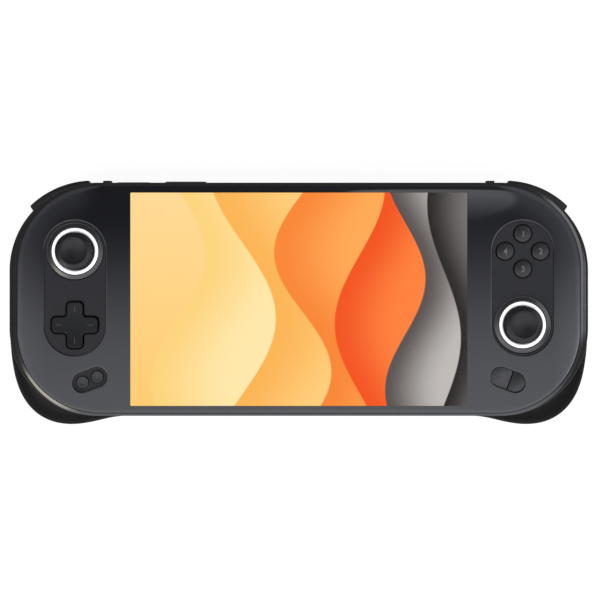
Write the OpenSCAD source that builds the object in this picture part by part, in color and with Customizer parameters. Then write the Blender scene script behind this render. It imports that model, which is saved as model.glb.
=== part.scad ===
// Handheld game console: a 16:10 screen between two control islands, with two grips behind.
// X runs to the right, Y to the top edge and Z out of the screen. Sizes are in mm.
// Z = 0 is the surface that the two grips rest on.

/* [Cover glass] */
// Width of the cover glass beside the screen
side_w = 50.7; // [48.5:0.1:54]
// Width of the cover glass above and below the screen
end_w = 3.2; // [2.7:0.1:6]
// Corner radius of the cover glass
glass_r = 36; // [32:0.5:38]
// Thickness of the cover glass
glass_t = 1.2; // [0.8:0.1:1.6]

/* [Housing] */
// Thickness of the body between the grips
body_depth = 21.5; // [21:0.5:26]
// Depth of the front frame, from the glass to the parting line
frame_depth = 10; // [9.5:0.25:11]
// Width of the frame's rim beside the glass at the left and right
rim_side = 3.8; // [3:0.1:5]
// Width of the frame's rim beside the glass at the top and bottom
rim_end = 1.4; // [1:0.1:2.5]
// How much larger the frame's corner radius is than the glass's
rim_corner = 3.5; // [2.5:0.1:4]
// Rounding of the rim's front edge
rim_round = 2.2; // [1:0.1:2.8]
// Wall thickness of the front frame
frame_wall = 2.2; // [1.8:0.1:2.6]
// Thickness of the frame's deck under the glass
deck_t = 1.6; // [1.2:0.1:2]
// Wall thickness of the rear cover
shell_wall = 2; // [1.6:0.1:2.4]
// Width of the rounded edge between the grips
back_edge = 7; // [5:0.5:8]

/* [Grips] */
// Depth of the grips behind the flat back
grip_depth = 14.5; // [10:0.5:18]
// Width of the rounded edge round the grips
grip_edge = 20; // [16:0.5:22]
// Distance from the middle at which the grips start to rise
grip_start = 62; // [61:0.5:70]
// Distance from the middle at which the grips are at full depth
grip_full = 98; // [92:0.5:102]
// Height on the face up to which the grips keep their full depth
grip_top = 8; // [0:1:14]
// Height on the face at which the grips have run out
grip_end = 46; // [40:1:50]
// Swell of the grips past the frame at the lower corners
lobe_swell = 12.2; // [6:0.1:13]
// Place of the swell, along the edge from the foot of the straight side
lobe_place = 37.3; // [32:0.5:42]
// Length of the swell along the edge
lobe_len = 17; // [12:0.5:20]
// Swell of the grips at the sides
side_swell = 2; // [0:0.5:4]

/* [Screen] */
// Width of the lit area
screen_w = 151; // [145:0.5:153]
// Height of the lit area
screen_h = 95.6; // [90:0.2:95.6]
// Border of the panel at the left and right of the lit area
panel_side = 2.2; // [1.5:0.1:2.4]
// Border of the panel at the top and bottom of the lit area
panel_end = 1.4; // [1:0.1:1.5]
// Thickness of the panel
panel_t = 2.4; // [2:0.1:2.6]
// Thickness of the chassis plate behind the panel
plate_t = 1; // [0.8:0.1:1.2]

/* [Control islands] */
// Distance of the controls from the glass's side edge
control_inset = 25.8; // [24:0.2:27]
// Height of the upper controls above the middle of the face
upper_y = 21.5; // [20:0.5:22]
// Height of the lower controls, below the middle of the face
lower_y = -11.5; // [-13:0.5:-11]
// Radius of the islands' round ends
island_r = 13.9; // [13.6:0.1:15]
// Depth of the islands below the glass
island_drop = 0.4; // [0.2:0.1:0.6]

/* [Thumbsticks] */
// Radius of the stick caps
cap_r = 8.4; // [7.5:0.1:8.6]
// Height of the caps' rims above the glass
cap_rise = 5.6; // [5.4:0.1:7]
// Thickness of the caps' rims
cap_rim_t = 1.6; // [1.2:0.1:1.8]
// Outer radius of the light rings
ring_r = 10.4; // [10.2:0.1:10.6]
// Width of the light rings
ring_w = 1.8; // [1.5:0.1:1.9]
// Outer radius of the raised collars
collar_r = 12.4; // [12:0.1:13]
// Height of the collars above the island
collar_rise = 0.3; // [0.1:0.1:0.4]
// Radius of the round skirts under the caps
skirt_r = 8.9; // [8.6:0.1:8.9]
// Wall thickness of the skirts
skirt_t = 0.8; // [0.6:0.1:0.8]
// Radius of the stick bases
base_r = 7.3; // [6.8:0.1:7.3]
// Radius of the stems
stem_r = 1.4; // [1.1:0.1:1.5]
// Room between the deck and the thumb boards
stick_room = 6.2; // [6:0.1:6.6]

/* [Buttons] */
// Half span of the directional pad
pad_span = 10.4; // [9.5:0.1:10.8]
// Half width of the directional pad's arms
pad_arm = 3.65; // [3:0.05:4]
// Rounding of the pad's arms
pad_round = 2; // [1:0.1:2.4]
// Height of the pad above the island
pad_rise = 1.4; // [1:0.1:2]
// Radius of the pad's pivot ball
ball_r = 2; // [1.6:0.1:2.2]
// Distance of the face buttons from their middle
face_pitch = 7.9; // [7.6:0.1:8.4]
// Radius of the face buttons
face_r = 4; // [3.6:0.05:4.1]
// Height of the face buttons above the island
face_rise = 1.5; // [1:0.1:2]
// Travel of the face buttons
face_travel = 1.2; // [0.8:0.1:1.3]
// Radius of the pills' round ends
pill_r = 4.6; // [4.4:0.1:5]
// Distance between the middles of a pill's two ends
pill_pitch = 7; // [6.8:0.1:7.6]
// Distance of the pills' middles from the controls' middle line, towards the screen
pill_in = 6.7; // [5.4:0.1:8.4]
// Height of the pills on the face
pill_y = -36; // [-37:0.1:-35]
// Slant of the pills
pill_tilt = 20.4; // [10:0.2:30]
// Radius of the two small round buttons
small_r = 2.75; // [2.4:0.05:2.8]
// Travel of the pill buttons
small_travel = 0.6; // [0.3:0.1:0.8]

/* [Shoulder keys] */
// How far the bumpers stand out past the frame at their upper ends
bumper_out = 1.1; // [0.5:0.1:2]
// How much further the bumpers stand out towards the sides
bumper_lean = 2.3; // [0:0.1:3]
// Width of the bumpers, from the outer face in
bumper_w = 5; // [4.5:0.1:5.2]
// Thickness of the bumpers, in the frame's depth
bumper_t = 6.6; // [5.5:0.1:6.8]
// Length of the triggers behind the bumpers
trigger_len = 16.5; // [14:0.5:18]
// Thickness of the triggers' blades
trigger_t = 3.4; // [2.6:0.1:3.6]
// Radius of the bumper pins
bumper_pin_r = 1; // [0.8:0.05:1.2]
// Radius of the trigger pins
trigger_pin_r = 1.25; // [1:0.05:1.4]
// Width of the corner keys
corner_key_w = 4.2; // [3.6:0.1:5]
// How far the corner keys stand out
corner_key_out = 1.1; // [0.6:0.1:1.6]
// Travel of the corner keys
corner_key_travel = 0.6; // [0.3:0.1:0.7]

/* [Edge keys and ports] */
// Width of the power key
power_w = 15; // [12:0.5:16]
// Width of the volume rocker
volume_w = 18.6; // [14:0.2:20]
// How far the power key stands out
power_out = 0.4; // [0.3:0.1:0.8]
// How far the volume rocker stands out
volume_out = 0.7; // [0.5:0.1:1]
// Travel of the power key
power_travel = 0.3; // [0.2:0.05:0.5]
// Width of the USB-C ports
usb_w = 9; // [8.9:0.05:9.2]
// Thickness of the USB-C ports
usb_t = 3.2; // [3.1:0.05:3.3]
// Bore radius of the headphone jack
jack_bore_r = 1.78; // [1.75:0.01:1.85]
// Width of the card slot
card_w = 12; // [11.5:0.1:13]

/* [Inside] */
// Thickness of the boards
board_t = 1.2; // [0.8:0.1:1.4]
// Length of the battery
battery_w = 132; // [100:1:134]
// Width of the battery
battery_h = 32; // [20:0.5:33]
// Thickness of the battery
battery_t = 10; // [7:0.5:11]
// Thickness of the fan
fan_t = 8; // [7:0.25:8.5]
// Radius of the fan's wheel
fan_r = 18; // [15:0.5:18.5]
// Number of fan blades
fan_blades = 19; // [9:1:29]

/* [Fits] */
// Gap round a fixed piece
fit_gap = 0.15; // [0.1:0.05:0.25]
// Gap round a button
key_gap = 0.25; // [0.2:0.05:0.35]
// Radial gap of a pin in its bore
pin_gap = 0.05; // [0.03:0.01:0.08]

/* [Hidden] */
$fn = 48;

// Outlines of the cover glass and of the front frame, and the middles of the frame's corner rounds
glass_w = screen_w + 2 * side_w;
glass_h = screen_h + 2 * end_w;
frame_w = glass_w + 2 * rim_side;
frame_h = glass_h + 2 * rim_end;
frame_r = glass_r + rim_corner;
corner_x = frame_w / 2 - frame_r;
corner_y = frame_h / 2 - frame_r;

// Heights, from the resting surface up to the front
back_z = grip_depth;
inner_z = back_z + shell_wall;
face_z = grip_depth + body_depth;
part_z = face_z - frame_depth;
deck_top = face_z - glass_t;
deck_bot = deck_top - deck_t;
island_z = face_z - island_drop;
panel_z = deck_top - panel_t;
plate_z = panel_z - plate_t;
board_top = deck_bot - stick_room;
board_z = board_top - board_t;
key_z = (board_top + plate_z) / 2;

// The bumpers reach less far up than the grips reach down, so the face lies above the middle
face_y = 1.45;

// Screen panel and chassis plate
panel_w = screen_w + 2 * panel_side;
panel_h = screen_h + 2 * panel_end;
wall_in = frame_h / 2 - frame_wall;
plate_lap = 5;
plate_w = panel_w + 2 * plate_lap;
pad_w = 3.4;
pad_h = 20;
pad_y = 20;

// Control islands and pills
control_x = glass_w / 2 - control_inset;
pill_x = control_x - pill_in;
pill_floor = 1.1;
pill_split = 1.2;
split_gap = 0.4;

// Thumbsticks: the turning point lies at mid height of the stick base
stick_drop = 3.2;
stick_z = deck_bot - stick_drop;
base_t = 0.9;
base_gap = 0.5;
base_top = deck_bot - base_gap;
base_mouth = 6.1;
cap_rim = face_z + cap_rise;
cap_low = cap_rim - cap_rim_t;
cap_dish = 1.1;
cap_bead = cap_rim_t / 2;
cap_web = 0.5;
neck_r = 4.4;
skirt_low = 1.6;
stem_low = 2;
trunnion_r = 0.8;
trunnion_len = 1;
yoke_x = 9.4;
yoke_y = 8;
yoke_t = 2.4;
yoke_window = 6.6;
pivot_x = 5;
pivot_y = 6;
stick_foot = 0.3;
ring_flange = 0.8;
ring_flange_t = 0.8;

// Directional pad and face buttons
pad_gap = 0.5;
pad_flange_r = 11.2;
pad_flange_t = 1;
pad_drop = 1.5;
pad_flange_top = deck_bot - pad_drop;
ball_rise = 3.5;
ball_z = board_top + ball_rise;
post_r = 2.4;
post_h = 2.5;
hub_r = 3.2;
flange_lip = 0.8;
small_lip = 0.45;
flange_t = 1;
flange_drop = 0.1;
dome_r = 2.6;
dome_tip_r = 1.8;
dome_t = 0.5;
sheet_t = 0.8;
sheet_gap = 1.2;
dome_gap = 0.2;
pad_dome_gap = 1;
edge_round = 0.5;
face_dome = 0.7;
small_dome = 0.3;

// Thumb boards, held to the deck by three bosses each
thumb_w = 36;
thumb_low = -44;
thumb_high = 31;
thumb_round = 14;
boss_r = 2.2;
boss_at = [[14.4, 5], [-14.4, 5], [-8, -30]];
tap_r = 1;
screw_r = 0.95;
screw_head_r = 1.9;
screw_head_t = 1.2;
screw_len = 4;
screw_end = 0.5;

// Shoulder keys, in angles about the upper corner's middle
bumper_from = 91;
bumper_to = 134.8;
bumper_hinge = 95.6;
bumper_chamfer = 0.8;
bumper_r = frame_r + bumper_out;
bumper_hub_in = 1.6;
bumper_hub_r = frame_r - bumper_hub_in;
bumper_gap = 0.2;
bumper_top = deck_bot - bumper_gap;
bumper_low = bumper_top - bumper_t;
notch_near = 0.8;
notch_far = 1.5;
pin_seat = 1.1;
trigger_mid = (bumper_from + bumper_to) / 2;
trigger_half = 18.6;
trigger_step = 0.3;
trigger_r = bumper_r - trigger_step;
trigger_gap = 0.7;
trigger_top = bumper_low - trigger_gap;
trigger_low = trigger_top - trigger_len;
trigger_hinge_in = 8.1;
trigger_hinge_r = frame_r - trigger_hinge_in;
hinge_hub_r = 2.5;
hub_gap = 0.2;
trigger_hinge_z = trigger_top - hinge_hub_r - hub_gap;
hinge_half = 6.8;
ear_t = 2;
ear_half = 2;
ear_gap = 0.25;
trigger_pin_len = 2 * (hinge_half + ear_gap + ear_t);
spring_half = 2.3;
arm_w = hinge_half - spring_half;
blade_round = 0.8;
blade_dip = 0.5;
pocket_in = 8.5;
pocket_r = frame_r - pocket_in;
pocket_wall = 1.2;
pocket_wall_top = trigger_hinge_z - hinge_hub_r - trigger_gap;
coil_r = 2;
coil_wire = 0.28;
coil_turns = 4;
coil_pitch = 0.85;
coil_rings = 12;

// Keys of the top edge
key_t = 3;
key_flange = 0.5;
key_flange_t = 0.8;
corner_key_in = 4.1;
corner_key_x = corner_x - corner_key_in;
stop_t = 1.6;
rock_angle = 1.8;
rocker_room = fit_gap + (volume_w / 2 + key_flange) * sin(rock_angle);

// Boards, ports and what they carry
main_in = 3.5;
main_w = screen_w - 2 * main_in;
battery_foot = 12.2;
battery_gap = 3;
battery_low = battery_foot - wall_in;
main_low = battery_low + battery_h + battery_gap;
main_gap = 1.9;
main_high = wall_in - main_gap;
speaker_in = 11.5;
speaker_x = screen_w / 2 - speaker_in;
speaker_w = 25;
io_side = 11.5;
io_w = 2 * (speaker_x - speaker_w / 2 - io_side);
io_gap = 0.7;
io_low = -wall_in + io_gap;
io_deep = 8.5;
io_high = io_low + io_deep;
power_out_x = 2.6;
power_x = main_w / 2 + power_out_x;
volume_in = 23.6;
volume_x = power_x - volume_in;
usb_top_in = 12;
usb_top_x = main_w / 2 - usb_top_in;
usb_len = 7.5;
usb_wall = 0.35;
usb_tongue = 1.2;
usb_recess = 0.4;
usb_y = wall_in + frame_wall - usb_recess - usb_len;
socket_in = 14;
jack_x = io_w / 2 - socket_in;
jack_w = 6;
jack_gap = 0.1;
jack_front = wall_in - jack_gap;
jack_len = 11.5;
jack_back = jack_front - jack_len;
jack_mouth_r = 2.7;
card_x = socket_in - io_w / 2;
card_t = 1.6;
card_len = 7;
card_slit = 0.9;
switch_w = 4;
switch_at = 5;
switch_depth = 2.6;
switch_t = 2.6;
switch_gap = 0.05;

// Screws through the rear cover into the chassis plate's pillars
pillar_out = 6;
case_x = main_w / 2 - 14;
case_low_x = io_w / 2 + pillar_out;
case_in = 9.2;
case_low_in = 8.2;
case_y = wall_in - case_in;
case_low_y = case_low_in - wall_in;
case_screw_at = [[case_x, case_y], [-case_x, case_y], [case_low_x, case_low_y], [-case_low_x, case_low_y]];
pillar_r = 2.6;
well_h = 6;
pillar_low = back_z + well_h;
case_screw_r = 1.2;
case_head_r = 2.4;
case_head_t = 1.6;
case_bite = 6;
well_r = 3.7;
well_floor = 2.4;
board_edge = 6;
main_screw_x = main_w / 2 - board_edge;
main_screw_up = 7;
main_screw_in = 14.3;
port_room = 2;
main_low_y = main_low + main_screw_up;
main_high_y = main_high - main_screw_in;
main_screw_at = [[main_screw_x, main_low_y], [-main_screw_x, main_low_y],
    [main_screw_x, main_high_y], [-main_screw_x, main_high_y - port_room]];
io_edge = 3.5;
io_screw_x = io_w / 2 - io_edge;
io_screw_in = 4.5;
io_screw_y = io_low + io_screw_in;
io_screw_at = [[io_screw_x, io_screw_y], [-io_screw_x, io_screw_y]];
standoff_r = 2.2;

// Cooling
fan_x = -3;
fan_w = 54;
pipe_w = 6;
pipe_in = 6.2;
pipe_y = wall_in - pipe_in;
fan_room = 1;
fan_top = pipe_y - pipe_w / 2 - fan_room;
fan_h = fan_top - main_low - fan_room;
fan_y = fan_top - fan_h / 2;
fan_wall = 1;
fan_hub_r = 7;
fan_eye_r = 14.5;
fan_axle_r = 1.5;
fan_gap = 0.5;
blade_t = 0.9;
blade_root = 0.6;
blade_lean = 25;
band_w = 2;
chip_w = 20;
chip_t = 1;
chip_in = 22;
chip_x = main_w / 2 - chip_in;
chip_up = 17;
chip_y = main_low + chip_up;
pipe_t = 2;
pipe_bend = 8;
pipe_past = 23;
pipe_end = fan_x - pipe_past;
cold_w = 25;
fin_low = inner_z + 1;
fin_n = 16;
fin_pitch = 3;
fin_t = 0.5;
fin_depth = 5.6;

// Vents
slot_w = 1.8;
slot_len = 12;
slot_pitch_x = 15;
slot_pitch_y = 4;
slot_cols = 3;
slot_rows = 8;
top_slot_n = 12;
top_slot_pitch = 4;
top_slot_w = 2;
side_slot_n = 6;

// Speakers, haptic motors and drive
speaker_h = 6.6;
speaker_t = 10;
speaker_cone = 3.2;
speaker_gap = 1.3;
haptic_r = 5;
haptic_t = 3.4;
haptic_y = -33.5;
drive_w = 30;
drive_h = 22;
drive_t = 2.4;
drive_gap = 2;
drive_x = fan_x - fan_w / 2 - drive_gap - drive_w / 2;
drive_up = 20;
drive_y = main_low + drive_up;

// Mesh of the rear cover
arc_steps = 14;
run_steps = 16;
side_steps = 3;
edge_steps = 6;
flat_steps = 6;
flat_x = 0.43;
flat_y = 0.38;
swell_lean = 0.7;
side_place = -8;
side_len = 18;
over = 1;

// Shapes shared by several pieces

// Rectangle with rounded corners, centred
module rounded_rect(w, h, r, steps = 16) {
    polygon([for (k = [0:3], i = [0:steps])
        let (t = 90 * (k + i / steps), sx = k == 0 || k == 3 ? 1 : -1, sy = k < 2 ? 1 : -1)
        [sx * (w / 2 - r) + r * cos(t), sy * (h / 2 - r) + r * sin(t)]]);
}

// Long hole along X with round ends, pitch apart
module obround(pitch, r) {
    square([pitch, 2 * r], center = true);
    for (s = [-1, 1])
        translate([s * pitch / 2, 0])
            circle(r);
}

// Profile in the XY plane carried round a rounded rectangle; x = 0 is the outer edge and y is height
module carried_round(w, h, r) {
    for (k = [0:3]) {
        sx = k == 0 || k == 3 ? 1 : -1;
        sy = k < 2 ? 1 : -1;
        run = k % 2 == 0 ? w - 2 * r : h - 2 * r;
        translate([sx * (w / 2 - r), sy * (h / 2 - r), 0])
            rotate([0, 0, 90 * k]) {
                rotate_extrude(angle = 90)
                    translate([r, 0])
                        children();
                rotate([0, 0, 90])
                    translate([r, 0, 0])
                        rotate([90, 0, 180])
                            mirror([1, 0, 0])
                                linear_extrude(run)
                                    children();
            }
    }
}

// Part of a ring about the shoulder keys' middle, between two angles
module corner_ring(from, to) {
    translate([-corner_x - bumper_lean, corner_y, 0])
        rotate([0, 0, from])
            rotate_extrude(angle = to - from)
                children();
}

// A piece of the left side, or its mirror image on the right
module on_side(right) {
    mirror([right ? 1 : 0, 0, 0])
        children();
}

// X outwards, Y along the corner, at the left trigger's middle
module at_trigger() {
    translate([-corner_x - bumper_lean, corner_y, 0])
        rotate([0, 0, trigger_mid])
            children();
}

module at_stick(right) {
    translate([right ? control_x : -control_x, right ? lower_y : upper_y, 0])
        children();
}

module at_pad() {
    translate([-control_x, lower_y, 0])
        children();
}

module at_face(k) {
    translate([control_x, upper_y, 0])
        rotate([0, 0, 90 * k])
            translate([face_pitch, 0, 0])
                children();
}

module island_shape(grow) {
    translate([0, (upper_y + lower_y) / 2])
        rotate(90)
            obround(upper_y - lower_y, island_r + grow);
}

module at_pill(right) {
    translate([right ? pill_x : -pill_x, pill_y, 0])
        rotate([0, 0, right ? -pill_tilt : pill_tilt])
            children();
}

module pad_shape(grow) {
    for (a = [0, 90])
        rotate(a)
            rounded_rect(2 * (pad_span + grow), 2 * (pad_arm + grow), pad_round + grow, 8);
}

// Round button: a flange behind the deck, a straight barrel and a shallow dome
module round_button(r, lip, top, dome) {
    rotate_extrude()
        polygon(concat([[0, deck_bot - flange_drop - flange_t],
            [r + lip, deck_bot - flange_drop - flange_t],
            [r + lip, deck_bot - flange_drop], [r, deck_bot - flange_drop]],
            [for (i = [0:8]) [r * cos(90 * i / 8), top - dome + dome * sin(90 * i / 8)]]));
}

// Front of the console

module front_glass() {
    color("#3a3c41")
        difference() {
            translate([0, 0, deck_top])
                linear_extrude(glass_t)
                    rounded_rect(glass_w, glass_h, glass_r, 24);
            for (s = [-1, 1])
                translate([s * control_x, 0, deck_top - over])
                    linear_extrude(glass_t + 2 * over)
                        island_shape(0);
            for (right = [false, true])
                at_pill(right)
                    translate([0, 0, deck_top - over])
                        linear_extrude(glass_t + 2 * over)
                            obround(pill_pitch, pill_r);
        }
}

module display_panel() {
    color("#c98a45")
        translate([0, 0, panel_z + panel_t / 2])
            cube([panel_w, panel_h, panel_t], center = true);
}

// Outer wall of the frame with its rounded front edge
module rim_wall() {
    translate([0, 0, part_z])
        carried_round(frame_w, frame_h, frame_r)
            polygon(concat([[-frame_wall, 0], [0, 0]],
                [for (i = [0:8])
                    [rim_round * (cos(90 * i / 8) - 1),
                    frame_depth - rim_round + rim_round * sin(90 * i / 8)]],
                [[-rim_side - rim_round, frame_depth],
                [-rim_side - rim_round, frame_depth - glass_t - deck_t],
                [-frame_wall, frame_depth - glass_t - deck_t]]));
}

// Two ears that hold the trigger's pin, hung from the deck
module trigger_ears() {
    at_trigger()
        for (s = [-1, 1])
            translate([trigger_hinge_r - ear_half, s * (hinge_half + ear_gap + ear_t / 2) - ear_t / 2,
                trigger_hinge_z - ear_half])
                cube([2 * ear_half, ear_t, deck_bot + deck_t / 2 - trigger_hinge_z + ear_half]);
}

// Raised ring round each stick
module collar() {
    rotate_extrude()
        polygon(concat([[ring_r - over, deck_bot], [collar_r, deck_bot]],
            [for (i = [0:8]) let (t = 180 * i / 8, half = (collar_r - ring_r) / 2)
                [ring_r + half + half * cos(t), island_z + collar_rise * sin(t)]],
            [[ring_r - over, island_z]]));
}

// Block behind each corner key that ends its travel
module key_stops() {
    for (s = [-1, 1])
        translate([s * corner_key_x - corner_key_w / 2,
            wall_in - fit_gap - key_flange_t - corner_key_travel - switch_gap - stop_t, key_z - key_t / 2])
            cube([corner_key_w, stop_t, deck_bot + deck_t / 2 - key_z + key_t / 2]);
}

module board_boss() {
    translate([0, 0, board_top])
        cylinder(r = boss_r, h = deck_bot - board_top + deck_t / 2);
}

module front_frame() {
    color("#55565c")
        difference() {
            union() {
                rim_wall();
                translate([0, 0, deck_bot])
                    linear_extrude(deck_t)
                        rounded_rect(frame_w - 2 * rim_side, frame_h - frame_wall, frame_r - rim_side, 24);
                for (s = [-1, 1])
                    translate([s * control_x, 0, deck_bot])
                        linear_extrude(island_z - deck_bot)
                            island_shape(-fit_gap);
                at_pill(false)
                    translate([0, 0, deck_bot])
                        linear_extrude(face_z - pill_floor - deck_bot)
                            obround(pill_pitch, pill_r - fit_gap);
                key_stops();
                for (right = [false, true]) {
                    at_stick(right)
                        collar();
                    on_side(right) {
                        trigger_ears();
                        for (p = boss_at)
                            translate([-control_x + p[0], p[1], 0])
                                board_boss();
                    }
                }
            }
            // Glass pocket and display window
            translate([0, 0, deck_top])
                linear_extrude(glass_t + over)
                    difference() {
                        rounded_rect(glass_w + 2 * fit_gap, glass_h + 2 * fit_gap, glass_r + fit_gap, 24);
                        for (s = [-1, 1])
                            translate([s * control_x, 0])
                                island_shape(-fit_gap);
                        translate([-pill_x, pill_y])
                            rotate(pill_tilt)
                                obround(pill_pitch, pill_r - fit_gap);
                    }
            translate([0, 0, deck_bot + deck_t / 2])
                cube([panel_w + 2 * fit_gap, panel_h + 2 * fit_gap, deck_t + 2 * over], center = true);
            // Openings of the controls
            for (right = [false, true])
                at_stick(right)
                    translate([0, 0, deck_bot - over])
                        cylinder(r = ring_r + fit_gap, h = deck_t + glass_t + 2 * over);
            at_pad()
                translate([0, 0, deck_bot - over])
                    linear_extrude(deck_t + glass_t + 2 * over)
                        pad_shape(pad_gap);
            for (k = [0:3])
                at_face(k)
                    translate([0, 0, deck_bot - over])
                        cylinder(r = face_r + key_gap, h = deck_t + glass_t + 2 * over);
            at_pill(false)
                for (s = [-1, 1])
                    translate([s * pill_pitch / 2, 0, deck_bot - over])
                        cylinder(r = small_r + key_gap, h = deck_t + glass_t + 2 * over);
            at_pill(true)
                translate([0, 0, deck_bot - over])
                    linear_extrude(deck_t + glass_t + 2 * over)
                        obround(pill_pitch, pill_r);
            // Screw holes of the thumb boards
            for (right = [false, true])
                on_side(right)
                    for (p = boss_at)
                        translate([-control_x + p[0], p[1], board_top - over])
                            cylinder(r = tap_r, h = screw_len + over);
            // Shoulder keys: bumper notch, bumper pin seat and trigger pin bore
            for (right = [false, true])
                on_side(right) {
                    corner_ring(bumper_from - notch_near, bumper_to + notch_far)
                        translate([frame_r - frame_wall - bumper_lean, part_z - over])
                            square([frame_wall + bumper_lean + over, deck_bot - part_z + over]);
                    translate([0, 0, deck_bot - over])
                        at_bumper_hinge()
                            cylinder(r = bumper_pin_r, h = over + pin_seat);
                    at_trigger()
                        translate([trigger_hinge_r, 0, trigger_hinge_z])
                            rotate([90, 0, 0])
                                cylinder(r = trigger_pin_r, h = trigger_pin_len + 2 * over, center = true);
                }
            edge_cuts();
        }
}

// Middle of the left bumper's pin
module at_bumper_hinge() {
    translate([-corner_x - bumper_lean, corner_y, 0])
        rotate([0, 0, bumper_hinge])
            translate([bumper_hub_r, 0, 0])
                children();
}

// Holes through the frame's top and bottom walls
module edge_cuts() {
    for (right = [false, true])
        on_side(right)
            wall_slot(-corner_key_x, 1, corner_key_w + 2 * key_gap, key_t + 2 * key_gap);
    wall_slot(-power_x, 1, power_w + 2 * key_gap, key_t + 2 * key_gap);
    wall_slot(-volume_x, 1, volume_w + 2 * key_gap, key_t + 2 * key_gap);
    wall_slot(usb_top_x, 1, usb_w + 2 * fit_gap, usb_t + 2 * fit_gap);
    wall_slot(0, -1, usb_w + 2 * fit_gap, usb_t + 2 * fit_gap);
    translate([card_x, -wall_in + over, board_top + card_t / 2])
        rotate([90, 0, 0])
            linear_extrude(frame_wall + 2 * over)
                square([card_w + 2 * fit_gap, card_t], center = true);
    translate([jack_x, -wall_in + over, key_z])
        rotate([90, 0, 0])
            cylinder(r = jack_mouth_r, h = frame_wall + 2 * over);
}

// Slot with round ends through the top (1) or bottom (-1) wall
module wall_slot(x, end, w, t) {
    translate([x, end * (wall_in + frame_wall / 2), key_z])
        rotate([90, 0, 0])
            linear_extrude(frame_wall + 2 * over, center = true)
                obround(w - t, t / 2);
}

// Rear cover

// Smooth step from 0 to 1
function smooth(t) = let (c = max(0, min(1, t))) c * c * (3 - 2 * c);

// Share of the grips' full depth at a place on the face
function grip(x, y) = smooth((abs(x) - grip_start) / (grip_full - grip_start))
    * (1 - smooth((y - grip_top) / (grip_end - grip_top)));

// Distance along the edge from the foot of the straight side, down and round the lower corner
function along_edge(x, y) = y > -corner_y ? -corner_y - y
    : abs(x) < corner_x ? frame_r * PI / 2 + corner_x - abs(x)
    : frame_r * PI / 180 * atan2(-corner_y - y, abs(x) - corner_x);

// Outward swell of the edge at a place on the outline
function swell(x, y) = let (s = along_edge(x, y))
    lobe_swell * exp(-pow((s - lobe_place) / lobe_len, 2) / 2)
    + side_swell * exp(-pow((s - side_place) / side_len, 2) / 2);

// Points of a rounded rectangle with their outward directions: [x, y, nx, ny]
function outline(a, b, r) = [for (k = [0:3])
    let (sx = k == 0 || k == 3 ? 1 : -1, sy = k < 2 ? 1 : -1, runs = k % 2 == 0 ? run_steps : side_steps,
        run = k % 2 == 0 ? 2 * (a - r) : 2 * (b - r), n = [cos(90 * k + 90), sin(90 * k + 90)],
        d = [-n[1], n[0]])
    each concat([for (i = [0:arc_steps]) let (t = 90 * (k + i / arc_steps))
            [sx * (a - r) + r * cos(t), sy * (b - r) + r * sin(t), cos(t), sin(t)]],
        [for (i = [1:runs - 1]) [sx * (a - r) + r * n[0] + d[0] * run * i / runs,
            sy * (b - r) + r * n[1] + d[1] * run * i / runs, n[0], n[1]]])];

// Height of the cover's skin, inset into the wall, at a share of the edge's quarter turn
function skin_z(x, y, inset, turn) = let (low = back_z - grip_depth * grip(x, y) + inset)
    part_z - (part_z - low) * sin(90 * turn);

// Place on the rounded edge, from the parting line (turn 0) to the back (turn 1)
function edge_point(p, inset, turn) = let (
        width = back_edge + (grip_edge - back_edge) * grip(p[0], p[1]) - inset,
        in = width * (1 - cos(90 * turn)) - swell(p[0], p[1]) * sin(180 * pow(turn, swell_lean)))
    [p[0] - p[2] * in, p[1] - p[3] * in];

// One closed ring of the skin: edge rings first, then rings drawn in to the flat of the back
function skin_ring(o, inset, k) = [for (p = o)
    let (q = edge_point(p, inset, min(1, k / edge_steps)), share = max(0, k - edge_steps) / flat_steps,
        x = q[0] + (p[0] * flat_x - q[0]) * share, y = q[1] + (p[1] * flat_y - q[1]) * share)
    [x, y, skin_z(x, y, inset, min(1, k / edge_steps))]];

// Triangles between two rings of n points that start at i0 and j0
function strip(i0, j0, n) = [for (i = [0:n - 1])
    let (a = i0 + i, b = i0 + (i + 1) % n, c = j0 + (i + 1) % n, d = j0 + i)
    each [[a, b, c], [a, c, d]]];

function flipped(faces) = [for (f = faces) [f[2], f[1], f[0]]];

module shell_skin() {
    outer = outline(frame_w / 2, frame_h / 2, frame_r);
    inner = outline(frame_w / 2 - shell_wall, frame_h / 2 - shell_wall, frame_r - shell_wall);
    n = len(outer);
    last = edge_steps + flat_steps;
    base = n * (last + 1);
    points = concat([for (k = [0:last]) each skin_ring(outer, 0, k)],
        [for (k = [0:last]) each skin_ring(inner, shell_wall, k)]);
    faces = concat([for (k = [0:last - 1]) each strip(n * k, n * (k + 1), n)],
        [for (k = [0:last - 1]) each flipped(strip(base + n * k, base + n * (k + 1), n))],
        flipped(strip(0, base, n)),
        [[for (i = [0:n - 1]) n * last + (i + arc_steps / 2) % n]],
        [[for (i = [n - 1:-1:0]) base + n * last + (i + arc_steps / 2) % n]]);
    polyhedron(points, faces);
}

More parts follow.
